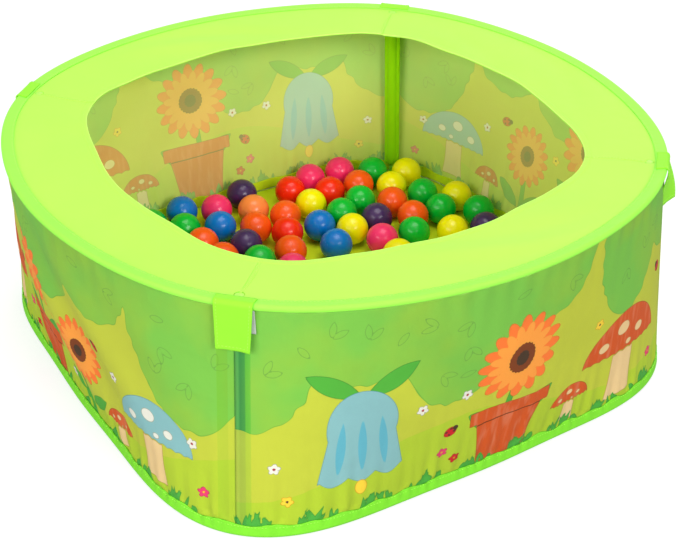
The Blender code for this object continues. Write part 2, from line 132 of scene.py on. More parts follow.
def reach(reaches, turn):
    """An outline's reach and slope at an azimuth.

    Mean + fourth * cos 4t + eighth * cos 8t passes through the three named reaches: at the middle of a
    side, half way to a corner, and at the corner.
    """
    side, midway, corner = reaches
    fourth = (side - corner) / 2
    eighth = ((side + corner) / 2 - midway) / 2
    out = midway + eighth + fourth * np.cos(4 * turn) + eighth * np.cos(8 * turn)
    return out, -4 * fourth * np.sin(4 * turn) - 8 * eighth * np.sin(8 * turn)


def outward(reaches, turn):
    """The outline's level unit normal: the tangent (r' cos t - r sin t, r' sin t + r cos t) turned out."""
    out, slope = reach(reaches, turn)
    ahead_x = slope * np.cos(turn) - out * np.sin(turn)
    ahead_y = slope * np.sin(turn) + out * np.cos(turn)
    length = np.hypot(ahead_x, ahead_y)
    return np.stack([ahead_y / length, -ahead_x / length, np.zeros_like(length)], -1)


def edge(reaches, turn, inset, height):
    """The outline's point at an azimuth, moved in by an inset along its normal, at a height."""
    turn, inset, height = np.broadcast_arrays(turn, inset, height)
    out, _ = reach(reaches, turn)
    point = np.stack([out * np.cos(turn), out * np.sin(turn), height], -1)
    return point - outward(reaches, turn) * inset[..., None]


def run_along(points):
    """The distance walked along a line of points, from 0 at the first."""
    steps = np.linalg.norm(np.diff(points, axis=0), axis=1)
    return np.concatenate([[0.0], np.cumsum(steps)])


def ripple(run, wavelength, seed, spread=0.35, waves=5):
    """A soft irregular wave of about unit height: a mean of sines whose lengths and phases are drawn once."""
    draw = np.random.default_rng(seed)
    lengths = wavelength * (1 + spread * draw.uniform(-1, 1, waves))
    phases = draw.uniform(0, math.tau, waves)
    total = sum(np.sin(math.tau * run / length + phase) for length, phase in zip(lengths, phases))
    return total / math.sqrt(waves / 2)


def in_scene(name, data):
    """A new object of the scene that holds a mesh, a lamp or a camera."""
    made = bpy.data.objects.new(name, data)
    bpy.context.scene.collection.objects.link(made)
    return made


def loft(name, points, close_rows=False, close_columns=False, cap_ends=False, reverse_from=None, fields=None):
    """A mesh object over a grid of points (row, column, xyz), in quads.

    A closed direction joins its last line to its first. cap_ends closes both ends of a sheet whose
    rows run up one skin and down the other. Faces from row reverse_from on take the second material.
    The UV map holds the distance along the columns and along the rows, in metres. fields are values
    for each point, kept as attributes under their names.
    """
    rows, columns = points.shape[:2]
    row_starts = np.arange(rows if close_rows else rows - 1)
    column_starts = np.arange(columns if close_columns else columns - 1)
    r, c = (grid.ravel() for grid in np.meshgrid(row_starts, column_starts, indexing="ij"))
    row_of = np.stack([r, r, r + 1, r + 1], 1)
    column_of = np.stack([c, c + 1, c + 1, c], 1)
    if cap_ends:
        low = np.arange(rows // 2 - 1)
        across = np.stack([low, low + 1, rows - 2 - low, rows - 1 - low], 1)
        row_of = np.concatenate([row_of, across, across[:, ::-1]])
        column_of = np.concatenate([column_of, 0 * across, 0 * across + columns - 1])
    faces = (row_of % rows) * columns + column_of % columns
    mesh = bpy.data.meshes.new(name)
    mesh.from_pydata(points.reshape(-1, 3), [], faces.tolist())
    if reverse_from is not None:
        slots = np.zeros(len(faces), np.int32)
        slots[:len(r)] = r >= reverse_from
        mesh.polygons.foreach_set("material_index", slots)
    along = run_along(np.concatenate([points[rows // 4], points[rows // 4, :1]]))
    up = run_along(np.concatenate([points[:, columns // 2], points[:1, columns // 2]]))
    uv = np.stack([along[column_of], up[row_of]], -1)
    mesh.uv_layers.new(name="cloth").data.foreach_set("uv", uv.astype(np.float32).ravel())
    for key, values in (fields or {}).items():
        made = mesh.attributes.new(key, "FLOAT_VECTOR", "POINT")
        made.data.foreach_set("vector", values.astype(np.float32).ravel())
    mesh.shade_smooth()
    mesh.update()
    return in_scene(name, mesh)


def weld_poles(piece):
    """Merges the rows of a turned shape that close to one point."""
    shape = bmesh.new()
    shape.from_mesh(piece.data)
    bmesh.ops.remove_doubles(shape, verts=shape.verts, dist=1e-7)
    bmesh.ops.recalc_face_normals(shape, faces=shape.faces)
    shape.to_mesh(piece.data)
    shape.free()
    piece.data.shade_smooth()


def cloth(name, colour, roughness=0.62, thread=0.0011, weave=0.25, crease=0.25, through=0.22, paint=None):
    """Plain-woven polyester: a fine criss-cross of threads, a faint sheen, soft creases, uneven dye, and a
    painted highlight and shade that follow the weave.

    The true thread is about 0.3 mm, too fine to show, so the weave is drawn coarser. The share
    through of the light comes through, as it does with a cloth this thin. paint(tree) may make the
    colour instead, and returns the socket that gives it.
    """
    made, tree, shader = new_material(name)
    flat = node(tree, "UVMap", uv_map="cloth").outputs[0]
    # A wave texture repeats every pi / (10 * scale)
    wave_scale = math.pi / (10 * thread)
    warp = node(tree, "TexWave", {"Vector": flat, "Scale": wave_scale}, bands_direction="X")
    weft = node(tree, "TexWave", {"Vector": flat, "Scale": wave_scale}, bands_direction="Y")
    threads = node(tree, "Math", {0: warp.outputs[1], 1: weft.outputs[1]}, operation="MULTIPLY")
    place = node(tree, "TexCoord").outputs["Object"]
    folds = node(tree, "TexNoise", {"Vector": place, "Scale": FOLD_SCALE, "Detail": 3.0, "Roughness": 0.45})
    coarse = node(tree, "Bump", {"Height": folds.outputs[0], "Strength": crease, "Distance": 0.004})
    fine = node(tree, "Bump", {
        "Height": threads.outputs[0], "Normal": coarse.outputs[0], "Strength": weave, "Distance": 0.0002,
    })
    if paint is None:
        base = node(tree, "RGB")
        base.outputs[0].default_value = linear(colour)
        base = base.outputs[0]
    else:
        base = paint(tree)
    blotch = node(tree, "TexNoise", {"Vector": place, "Scale": DYE_SCALE, "Detail": 2.0})
    shade = node(tree, "MapRange", {"Value": blotch.outputs[0], "To Min": 0.95, "To Max": 1.05})
    # Painted highlight and shade of the weave: the thread tops are drawn a little lighter, the hollows darker
    painted_weave_highlight = node(tree, "MapRange", {"Value": threads.outputs[0], "To Min": 0.97, "To Max": 1.02})
    value = node(tree, "Math", {0: shade.outputs[0], 1: painted_weave_highlight.outputs[0]}, operation="MULTIPLY")
    toned = node(tree, "HueSaturation", {"Value": value.outputs[0], "Color": base})
    tree.links.new(toned.outputs[0], shader.inputs["Base Color"])
    tree.links.new(fine.outputs[0], shader.inputs["Normal"])
    shader.inputs["Roughness"].default_value = roughness
    shader.inputs["Sheen Weight"].default_value = 0.05
    shader.inputs["Specular IOR Level"].default_value = 0.12
    behind = node(tree, "BsdfTranslucent", {"Color": toned.outputs[0], "Normal": fine.outputs[0]})
    both = node(tree, "MixShader", {0: through, 1: shader.outputs[0], 2: behind.outputs[0]})
    tree.links.new(both.outputs[0], tree.nodes["Material Output"].inputs["Surface"])
    return made


def tape_section(radius, lip_half, lip_length, steps=14):
    """A folded tape's outline as (distance along its lips, distance across them) from the wire's middle.

    Half a circle round the wire, two straight lips, and between them the slot and the round pocket.
    """
    round_hoop = np.linspace(1.5 * np.pi, 0.5 * np.pi, steps)
    outside = np.stack([radius * np.cos(round_hoop), radius * np.sin(round_hoop)], 1)
    run = np.linspace(0, 1, steps)[1:, None]
    upper = outside[-1] + run * (np.array([lip_length, lip_half]) - outside[-1])
    start = math.asin(SLOT_HALF / POCKET_RADIUS)
    round_pocket = np.linspace(start, math.tau - start, steps)
    pocket = np.stack([POCKET_RADIUS * np.cos(round_pocket), POCKET_RADIUS * np.sin(round_pocket)], 1)
    slot = np.array([[lip_length, SLOT_HALF]])
    lower = upper[::-1] * [1, -1]
    return np.concatenate([outside, upper, slot, pocket, slot * [1, -1], lower[:-1]])


def puckered(section, lip_length, pucker, growth):
    """A tape's outline as (along, across) columns, its share of the way to the lips' edge, and its puckers.

    The puckers move the outer skins alone, away from each other, as a power of that share.
    """
    along, across = section[:, :1], section[:, 1:]
    lip_share = np.clip(along / lip_length, 0, 1)
    outer_skin = np.abs(across) > 1.01 * SLOT_HALF
    return along, across, lip_share, pucker * lip_share ** growth * np.sign(across) * outer_skin


def stitches(name, line, normals, finish, body):
    """A row of lockstitches: short round-ended threads laid end to end along a line.

    Stitch k's middle line runs from pitch * k for one stitch length, bowed out as a half sine, and its
    thickness follows the square root of the same sine. normals give the way out of the cloth at each
    point of the line, or one way for all of it.
    """
    run = run_along(line)
    normals = np.broadcast_to(normals, line.shape)
    starts = np.arange(0, run[-1] - STITCH_PITCH, STITCH_PITCH)
    share = np.linspace(0, 1, 5)
    where = starts[:, None] + STITCH_LENGTH * share
    middle = np.stack([np.interp(where, run, line[:, k]) for k in range(3)], -1)
    out = np.stack([np.interp(where, run, normals[:, k]) for k in range(3)], -1)
    ahead = middle[:, -1:] - middle[:, :1]
    ahead = ahead / np.linalg.norm(ahead, axis=-1, keepdims=True)
    side = np.cross(ahead, out)
    arch = np.sin(np.pi * share)[None, :, None]
    middle = middle + out * THREAD_RADIUS * (THREAD_ARCH * arch - THREAD_SINK)
    thick = THREAD_RADIUS * np.sqrt(np.clip(arch, 0.02, 1))
    turn = np.linspace(0, math.tau, 6, endpoint=False)[:, None, None, None]
    points = middle + thick * (np.cos(turn) * side + np.sin(turn) * out)
    points = points.transpose(1, 2, 0, 3)
    count, rings, sides = points.shape[:3]
    ring, spoke = np.meshgrid(np.arange(rings - 1), np.arange(sides), indexing="ij")
    ring, spoke = ring.ravel(), spoke.ravel()
    after = (spoke + 1) % sides
    quads = np.stack([
        ring * sides + spoke, (ring + 1) * sides + spoke, (ring + 1) * sides + after, ring * sides + after,
    ], 1)
    # The six corners of each end close in two quads
    ends = np.array([[0, 1, 2, 3], [0, 3, 4, 5]])
    ends = np.concatenate([ends, (rings - 1) * sides + ends[:, ::-1]])
    one = np.concatenate([quads, ends])
    faces = (one[None] + np.arange(count)[:, None, None] * rings * sides).reshape(-1, 4)
    mesh = bpy.data.meshes.new(name)
    mesh.from_pydata(points.reshape(-1, 3), [], faces.tolist())
    mesh.shade_smooth()
    mesh.materials.append(finish)
    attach(in_scene(name, mesh), body)


def thread_finish(name, colour):
    """Spun polyester thread: matt, with the twist of its plies."""
    made, tree, shader = new_material(name)
    place = node(tree, "TexCoord").outputs["Object"]
    plies = node(tree, "TexNoise", {"Vector": place, "Scale": PLY_SCALE})
    twist = node(tree, "Bump", {"Height": plies.outputs[0], "Strength": 0.3, "Distance": 0.0002})
    tree.links.new(twist.outputs[0], shader.inputs["Normal"])
    shader.inputs["Base Color"].default_value = linear(colour)
    shader.inputs["Roughness"].default_value = 0.7
    return made


all_round = np.linspace(0, math.tau, OUTLINE_STEPS, endpoint=False)
closed_turn = np.append(all_round, all_round[:1] + math.tau)
lime_taffeta = cloth("lime_polyester_taffeta_tape", LIME_TAPE, crease=0.15, through=0.17)
lime_thread = thread_finish("lime_polyester_thread", LIME_THREAD)

rim_lip = RIM_TAPE_WIDTH - RIM_TAPE_RADIUS
rim_run = run_along(edge(RIM_REACHES, all_round, 0, RIM_MIDDLE))
pucker = PUCKER_DEPTH * ripple(rim_run, PUCKER_LENGTH, 1)
section = tape_section(RIM_TAPE_RADIUS, RIM_LIP_HALF, rim_lip)
along, across, _, rise = puckered(section, rim_lip, pucker, 2)
rim_points = edge(RIM_REACHES, all_round[None], RIM_TAPE_RADIUS + along, RIM_MIDDLE + across + rise)
rim_tape = loft("rim_tape", rim_points, close_rows=True, close_columns=True)
rim_tape.data.materials.append(lime_taffeta)
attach(rim_tape, "pit")
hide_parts("rim_binding")

stitch_height = RIM_LIP_HALF + (RIM_TAPE_RADIUS - RIM_LIP_HALF) / rim_lip * STITCH_INSET
for side_name, sign in (("upper", 1), ("lower", -1)):
    height = RIM_MIDDLE + sign * stitch_height
    seam_line = edge(RIM_REACHES, closed_turn, RIM_TAPE_WIDTH - STITCH_INSET, height)
    stitches(f"rim_stitches_{side_name}", seam_line, (0, 0, sign), lime_thread, "pit")


# Base tape: the same taffeta folded over the base hoop, its lips up, with the foot of the walls
# between them. The floor cloth's edge faces its inner lip, and its colour is a shade deeper than the rim's.
BASE_REACHES = (0.3998, 0.4279, 0.4802)
BASE_TAPE_RADIUS = 0.0045
BASE_TAPE_HEIGHT = 0.018
BASE_LIP_HALF = 0.0023
BASE_PUCKER_LENGTH = 0.017
BASE_PUCKER_DEPTH = 0.0006
BASE_WAVE_LENGTH = 0.06
BASE_WAVE_HEIGHT = 0.0014
STITCH_PROUD = 0.0004
FACING_FROM = -0.003
DEEP_LIME_TAPE = "#82E234"
FLOOR_COLOUR = "#D0E61E"

deep_taffeta = cloth("deep_lime_polyester_taffeta_tape", DEEP_LIME_TAPE, crease=0.6, through=0.12)
base_lip = BASE_TAPE_HEIGHT - BASE_TAPE_RADIUS
base_run = run_along(edge(BASE_REACHES, all_round, 0, 0))
pucker = BASE_PUCKER_DEPTH * ripple(base_run, BASE_PUCKER_LENGTH, 2)
section = tape_section(BASE_TAPE_RADIUS, BASE_LIP_HALF, base_lip)[::-1] * [1, -1]
along, across, lip_share, swell = puckered(section, base_lip, pucker, 1)
wave = BASE_WAVE_HEIGHT * ripple(base_run, BASE_WAVE_LENGTH, 3) * lip_share
base_points = edge(
    BASE_REACHES, all_round[None], BASE_TAPE_RADIUS + across + swell, BASE_TAPE_RADIUS + along + wave
)
base_tape = loft("base_tape", base_points, close_rows=True, close_columns=True)
base_tape.data.materials.append(deep_taffeta)
facing = cloth("yellow_green_polyester_facing", FLOOR_COLOUR, roughness=0.5, through=0.0)
base_tape.data.materials.append(facing)
# The inner lip is faced with the floor's cloth
faced = (across[:, 0] > SLOT_HALF) & (along[:, 0] > FACING_FROM)
base_tape.data.polygons.foreach_set("material_index", np.repeat(faced, len(all_round)).astype(np.int32))
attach(base_tape, "pit")
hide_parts("base_binding")

stitch_inset = BASE_TAPE_RADIUS - BASE_LIP_HALF - STITCH_PROUD
seam_line = edge(BASE_REACHES, closed_turn, stitch_inset, BASE_TAPE_HEIGHT - STITCH_INSET)
stitches("base_stitches", seam_line, outward(BASE_REACHES, closed_turn), lime_thread, "pit")


# Floor sheet: one flat piece of yellow-green polyester, cut to the base outline and sewn under the
# base tape. It is never tight: packing folds leave soft creases, and it lies on the ground.
FLOOR_THICKNESS = 0.0012
FLOOR_CLEARANCE = 0.0003
FLOOR_STEPS = 161
FLOOR_CREASE_DEPTH = 0.0002
# The creases die away over the last twelfth of the way to the edge
FLOOR_FADE = 12
# The two waves of creases, in radians for each metre of cloth, and how far and how fast the first wanders
CREASE_WAVES = (55, 41)
CREASE_WANDER = (3, 19)


def packing_creases(x, y):
    """How far up the cloth lies, from 0 to 1: the product of two sine waves, one of them wandering."""
    first, second = CREASE_WAVES
    far, fast = CREASE_WANDER
    crease = 0.5 + 0.5 * np.sin(x * first + far * np.sin(y * fast))
    return crease * (0.5 + 0.5 * np.sin(y * second + 1.3))


def two_skins(name, first, second, **more):
    """A closed sheet, whose faces run over the first skin's rows and then back over the second's."""
    return loft(name, np.concatenate([first, second[::-1]]), close_rows=True, cap_ends=True, **more)


under_tape = math.sqrt(BASE_TAPE_RADIUS ** 2 - (BASE_TAPE_RADIUS - FLOOR_THICKNESS) ** 2)
floor_inset = BASE_TAPE_RADIUS + under_tape + FLOOR_CLEARANCE
across_floor = np.linspace(-1, 1, FLOOR_STEPS)
u, v = np.meshgrid(across_floor, across_floor)
# A square grid drawn round: a point keeps its direction, and its larger coordinate is its share of the
# way to the edge
turn = np.arctan2(v, u)
share = np.maximum(np.abs(u), np.abs(v))
rim_of_floor = edge(BASE_REACHES, turn, floor_inset, 0)[..., :2]
level = rim_of_floor * share[..., None]
free = np.clip((1 - share) * FLOOR_FADE, 0, 1)
dip = FLOOR_CREASE_DEPTH * free * (1 - packing_creases(level[..., 0], level[..., 1]))
upper = np.dstack([level, FLOOR_THICKNESS - dip])
lower = np.dstack([level, np.zeros_like(dip)])
floor_cloth = two_skins("floor_cloth", upper, lower)
floor_cloth.data.materials.append(
    cloth("yellow_green_polyester_floor", FLOOR_COLOUR, roughness=0.5, crease=0.6, through=0.0)
)
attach(floor_cloth, "pit")
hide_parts("floor_sheet")


# Walls: four panels of thin polyester, printed on the outside with a garden and sewn to each other at
# the corners. The print shows paler on the back, partly its own paler reverse and partly painted light
# for the light that comes through from outside. Beside each corner seam a painted shade stands for the
# sleeve and its pole seen through the cloth.
WALL_THICKNESS = 0.0012
WALL_BOW = 0.006
WALL_COLUMNS = 312
WALL_ROWS = 134
# The azimuth of each corner seam; a side has the name of the corner it starts from
CORNERS = {"front": 225, "right": 315, "back": 45, "left": 135}
SEAM_GAP = 0.0003
# A panel's edge stays this far from the pocket of the tape that holds it
POCKET_CLEARANCE = 0.001
WALL_TOP = RIM_MIDDLE - RIM_TAPE_RADIUS - SEAM_GAP
SLOT_BOTTOM = BASE_TAPE_RADIUS + POCKET_RADIUS + POCKET_CLEARANCE
OPENING_REACHES = (0.3150, 0.3210, 0.3450)
SEAM_BACK_OFF = SEAM_GAP / (2 * OPENING_REACHES[2])
# Gathers by the foot and by the head: depth, wavelength, and how fast they die away from the seam
FOOT_GATHERS = (0.0011, 0.024, 7)
HEAD_GATHERS = (0.0005, 0.03, 9)
SWAY_DEPTH = 0.0022
SWAY_LENGTH = 0.16
# The folds grow over the first fortieth of the height, from none in the base tape's slot
WALL_FREE = 40
# The softness of an ink's edge, the width of its outline, and how deep inside an ink is still told apart
PRINT_EDGE = 0.00035
PRINT_LINE = 0.0007
DEEP = 0.02
LEAF_LINE_STRENGTH = 0.85
# Leaves are drawn on the canopy in rows, and blades of grass grow along the foot in tufts
LEAF_COUNT = 48
LEAVES_IN_ROW = 16
BLADE_COUNT = 130
BLADES_IN_TUFT = 14
TUFT_PITCH = 0.075
TUFT_HALF = 0.024
GROUND_COLOUR = "#D0D74A"
MOTTLE_COLOUR = "#A2CF4C"
GRAIN_COLOUR = "#EE9A72"
# Scales of the print's noises: upright streaks about 9 mm apart, and clouds about 90 mm across
STREAK_SCALE = 110.0
STREAK_STRETCH = 0.16
CLOUD_SCALE = 11.0
# The reverse's paler look: partly the print's own paler back, partly painted light for the light that comes
# through the walls from outside
PALE_REVERSE_AND_LIGHT_COLOUR = "#FDFFA6"
PALE_REVERSE_AND_LIGHT_SHARE = 0.36
# How far from a seam the painted shade of the sleeve and pole reaches
PAINTED_SHADE_REACH = 0.025
# Painted shade by a corner seam, for the sleeve and pole behind the cloth: each stop's distance past the
# seam less the reach, or before the next seam the reach less the distance, with its colour and strength
PAINTED_SEAM_SHADE = (
    (-0.0250, "#2E8C50", 0.65), (-0.0215, "#3FA45C", 0.70), (-0.0190, "#2A8A4C", 0.85),
    (-0.0135, "#35964C", 0.80), (-0.0122, "#46B83C", 0.60), (-0.0068, "#50C03C", 0.50),
    (-0.0062, "#60C83C", 0.0), (0.0030, "#8CC832", 0.0), (0.0036, "#84C832", 0.50),
    (0.0165, "#84C034", 0.45), (0.0172, "#5AC83C", 0.12), (0.0235, "#5AC83C", 0.15),
    (0.0250, "#2E8C50", 0.6),
)
# Each ink of the print, in the order in which it is laid down: its fill and its outline
INKS = (
    ("hill", "#C3DA3E", None),
    ("canopy", "#8ACF55", "#6DB545"),
    ("leaf_line", None, "#74A84C"),
    ("stalk", "#5FBE46", "#43923A"),
    ("brown", "#E0652A", "#A8451C"),
    ("cream", "#F3D9A4", "#C08C4E"),
    ("orange", "#FF8C40", "#D9691F"),
    ("amber", "#FFB34E", "#EE9332"),
    ("core", "#8E4A26", "#6B3518"),
    ("blue", "#98CACF", "#5C9CA8"),
    ("teal", "#6FC1D4", None),
    ("white", "#F3F1EA", "#A8A890"),
    ("pink", "#F04A80", "#B82A5C"),
    ("red", "#DD2B34", "#9E1B1E"),
    ("yellow", "#FFE04A", "#D9A022"),
    ("ink", "#54402F", None),
    ("grass", "#5ABC4C", "#43A241"),
    # Not an ink: the field of the painted shade beside the corner seams
    ("backing", None, None),
)


def turned_from(x, y, at, turn):
    """Places on the cloth as (along, across) a direction at an angle, from a point."""
    x = x - at[0]
    y = y - at[1]
    return x * math.cos(turn) + y * math.sin(turn), y * math.cos(turn) - x * math.sin(turn)


def oval(x, y, at, size, turn=0.0):
    """The signed depth inside a turned oval: (1 - k) over the slope of k, where k is 1 on its outline."""
    along, across = turned_from(x, y, at, turn)
    k = np.hypot(along / size[0], across / size[1]) + 1e-6
    slope = np.hypot(along / size[0] ** 2, across / size[1] ** 2) / k
    return (1 - k) / np.maximum(slope, 0.2 / max(size))


def leaf(x, y, at, length, width, turn):
    """The signed depth inside two equal arcs that meet in a point at both ends."""
    along, across = turned_from(x, y, at, turn)
    radius = (length ** 2 + width ** 2) / (4 * width)
    return radius - np.hypot(along, np.abs(across) + radius - width / 2)


def blossom(x, y, at, size, petals, notch, turn=0.0):
    """The signed depth inside a flower: its outline's radius falls by the share notch between petals."""
    azimuth = np.arctan2(y - at[1], x - at[0]) - turn
    swing = np.abs(np.cos(petals * azimuth / 2)) ** 0.7
    outline = size * (1 - notch * (1 - swing))
    return 0.85 * (outline - np.hypot(x - at[0], y - at[1]))


def ink_in(layers, ink, depth):
    """Adds a shape to an ink: where shapes overlap, the greater depth counts."""
    layers[ink] = np.maximum(layers[ink], depth)


def sunflower(x, y, layers, at, size):
    """Two rings of pointed petals round a dark seed head, on a leafy stalk."""
    lean = at[0] + 0.006 * np.sin((y - at[1]) * 18)
    stem = np.minimum(0.0045 - np.abs(x - lean), at[1] - y)
    ink_in(layers, "stalk", stem)
    for side in (-1, 1):
        low = (at[0] + side * 0.55 * size, at[1] - 1.45 * size)
        ink_in(layers, "stalk", leaf(x, y, low, 1.2 * size, 0.45 * size, side * 0.6))
    ink_in(layers, "orange", blossom(x, y, at, size, 16, 0.30))
    ink_in(layers, "amber", blossom(x, y, at, 0.80 * size, 16, 0.34, math.pi / 16))
    ink_in(layers, "core", blossom(x, y, at, 0.34 * size, 22, 0.10))
    ink_in(layers, "ink", blossom(x, y, at, 0.17 * size, 12, 0.12))


def toadstool(x, y, layers, at, size, ink="brown", spot="cream"):
    """A domed cap with round spots, a frilled edge and a stout stem."""
    frill = at[1] + 0.0025 * np.abs(np.sin((x - at[0]) * math.pi / (size / 5)))
    cap = np.minimum(oval(x, y, at, (size, 0.85 * size)), y - frill)
    ink_in(layers, ink, cap)
    girth = 0.27 * size * (1 + 0.6 * np.clip((at[1] - y) / size - 0.3, 0, 1) ** 2)
    stem = np.minimum(girth - np.abs(x - at[0]), frill - 0.0012 - y)
    ink_in(layers, "cream", np.minimum(stem, y - at[1] + 0.95 * size))
    spots = ((-0.55, 0.28, 0.13), (-0.08, 0.5, 0.17), (0.42, 0.30, 0.12), (0.12, 0.14, 0.08))
    for along, up, radius in spots:
        dot = oval(x, y, (at[0] + along * size, at[1] + up * size), (radius * size, 0.8 * radius * size))
        ink_in(layers, spot, dot)


def bellflower(x, y, layers, at, size):
    """A hanging bell with three scallops at its mouth, under a curved stalk with two leaves."""
    crown = oval(x, y, (at[0], at[1] + 0.25 * size), (0.52 * size, 0.62 * size))
    half = size * (0.46 + 0.20 * np.clip((at[1] + 0.3 * size - y) / size, 0, 1))
    scallop = at[1] - 0.62 * size - 0.13 * size * np.abs(np.cos((x - at[0]) * math.pi * 1.5 / (0.62 * size)))
    skirt = np.minimum(half - np.abs(x - at[0]), np.minimum(y - scallop, at[1] + 0.3 * size - y))
    ink_in(layers, "blue", np.maximum(crown, skirt))
    for along in (-0.32, 0.0, 0.32):
        top = (at[0] + along * size, at[1] - 0.10 * size)
        ink_in(layers, "teal", leaf(x, y, top, 0.95 * size, 0.13 * size, math.pi / 2 + along * 0.25))
    ink_in(layers, "yellow", oval(x, y, (at[0], at[1] - 0.86 * size), (0.09 * size, 0.14 * size)))
    for side in (1, -1):
        high = (at[0] + side * 0.42 * size, at[1] + 0.98 * size)
        ink_in(layers, "stalk", leaf(x, y, high, 0.9 * size, 0.3 * size, side * 0.5))


def pot(x, y, layers, at, size):
    """A terracotta flowerpot, wider at its top, under a thick rolled rim."""
    half = size * (0.40 + 0.16 * np.clip((y - at[1]) / size, 0, 1))
    body = np.minimum(half - np.abs(x - at[0]), np.minimum(y - at[1], at[1] + size - y))
    lip = np.minimum(0.64 * size - np.abs(x - at[0]), 0.11 * size - np.abs(y - at[1] - 0.90 * size))
    ink_in(layers, "brown", np.maximum(body, lip))
    shadow = np.minimum(0.52 * size - np.abs(x - at[0]), 0.0010 - np.abs(y - at[1] - 0.77 * size))
    ink_in(layers, "core", shadow)


def posy(x, y, layers, at, ink, size=0.0085):
    """A small open flower of five petals with a round eye."""
    ink_in(layers, ink, blossom(x, y, at, size, 5, 0.5, at[0] * 60))
    eye = {"white": "red", "yellow": "ink"}.get(ink, "yellow")
    ink_in(layers, eye, oval(x, y, at, (0.24 * size, 0.24 * size)))


def ladybird(x, y, layers, at, turn):
    """A red back with a line and four dots, and a dark head."""
    ahead = (math.cos(turn), math.sin(turn))
    head = (at[0] + 0.009 * ahead[0], at[1] + 0.009 * ahead[1])
    ink_in(layers, "ink", oval(x, y, head, (0.0035, 0.004), turn))
    ink_in(layers, "red", oval(x, y, at, (0.0095, 0.0078), turn))
    for along, across in ((0.004, 0.0035), (0.004, -0.0035), (-0.004, 0.0035), (-0.004, -0.0035)):
        dot = (at[0] + along * ahead[0] - across * ahead[1], at[1] + along * ahead[1] + across * ahead[0])
        ink_in(layers, "ink", oval(x, y, dot, (0.0019, 0.0019)))


def garden(x, y, motifs, lobes, seed):
    """The inks of one printed panel, each as a signed depth over the cloth, in metres.

    x runs along the panel from its first corner and y up from the ground. lobes are the scallops of
    the leafy canopy, as (place along, half width, lowest point).
    """
    layers = {ink: np.full(x.shape, -DEEP) for ink, _, _ in INKS}
    draw = np.random.default_rng(seed)
    ink_in(layers, "hill", 0.085 + 0.035 * np.sin(x * 11 + seed) - y)
    for along, half, low in lobes:
        ink_in(layers, "canopy", oval(x, y, (along, 0.32), (half, 0.32 - low)))
    layers["canopy"] += 0.0028 * np.sin(x * 150 + 2 * np.sin(y * 70)) * np.sin(y * 120 + 2 * np.sin(x * 60))
    for kind, *rest in motifs:
        kind(x, y, layers, *rest)
    # Drawn leaves, on a loose grid, wherever the canopy is deep enough
    for k in range(LEAF_COUNT):
        row, column = divmod(k, LEAVES_IN_ROW)
        tip = np.array([0.03 + 0.043 * column, 0.195 + 0.040 * row]) + draw.uniform(-0.008, 0.008, 2)
        nearest = np.hypot(x - tip[0], y - tip[1]).argmin()
        turn = draw.uniform(0, math.tau)
        if layers["canopy"].ravel()[nearest] < 0.018 or draw.uniform() < 0.3:
            continue
        # They grow from one tip, most of them in pairs
        for spread in (0.0, 0.9)[:1 + (k % 3 > 0)]:
            ahead = np.array([math.cos(turn + spread), math.sin(turn + spread)])
            ink_in(layers, "leaf_line", leaf(x, y, tip + 0.0125 * ahead, 0.022, 0.009, turn + spread))
    # Tufts of grass along the foot, lowest at their sides
    for k in range(BLADE_COUNT):
        tuft = 0.02 + TUFT_PITCH * (k // BLADES_IN_TUFT)
        foot = tuft + draw.uniform(-TUFT_HALF, TUFT_HALF)
        height = draw.uniform(0.024, 0.054) * (1 - abs(foot - tuft) / 0.045)
        blade = leaf(x, y, (foot, 0.018), height, 0.0055, math.pi / 2 + draw.uniform(-0.5, 0.5))
        ink_in(layers, "grass", blade)
    return {ink: np.clip(depth, -DEEP, DEEP) for ink, depth in layers.items()}


def wall_points(turn, height, off):
    """The wall's surface at an azimuth and a height, moved out by a distance.

    It is straight from the base tape to the rim, bowed out as a half sine where no pole holds it, with
    gathers that die away from both seams and long soft undulations between.
    """
    foot = edge(BASE_REACHES, turn, BASE_TAPE_RADIUS, BASE_TAPE_HEIGHT)
    head = edge(RIM_REACHES, turn, RIM_TAPE_RADIUS, WALL_TOP)
    share = np.clip((height - BASE_TAPE_HEIGHT) / (WALL_TOP - BASE_TAPE_HEIGHT), 0, 1)
    free = np.cos(2 * turn) ** 2
    bow = WALL_BOW * free * np.sin(np.pi * share)
    run = turn * BASE_REACHES[1]
    depth, length, fade = FOOT_GATHERS
    gathers = depth * ripple(run, length, 5) * np.exp(-share * fade)
    depth, length, fade = HEAD_GATHERS
    gathers = gathers + depth * ripple(run, length, 6) * np.exp(-(1 - share) * fade)
    sway = SWAY_DEPTH * ripple(run + 0.25 * share, SWAY_LENGTH, 7) * np.sin(np.pi * share) * np.sqrt(free)
    folds = (gathers + sway) * np.clip(share * WALL_FREE, 0, 1)
    level = foot + (head - foot) * share[..., None]
    level[..., 2] = height
    return level + outward(BASE_REACHES, turn) * (bow + off + folds)[..., None]


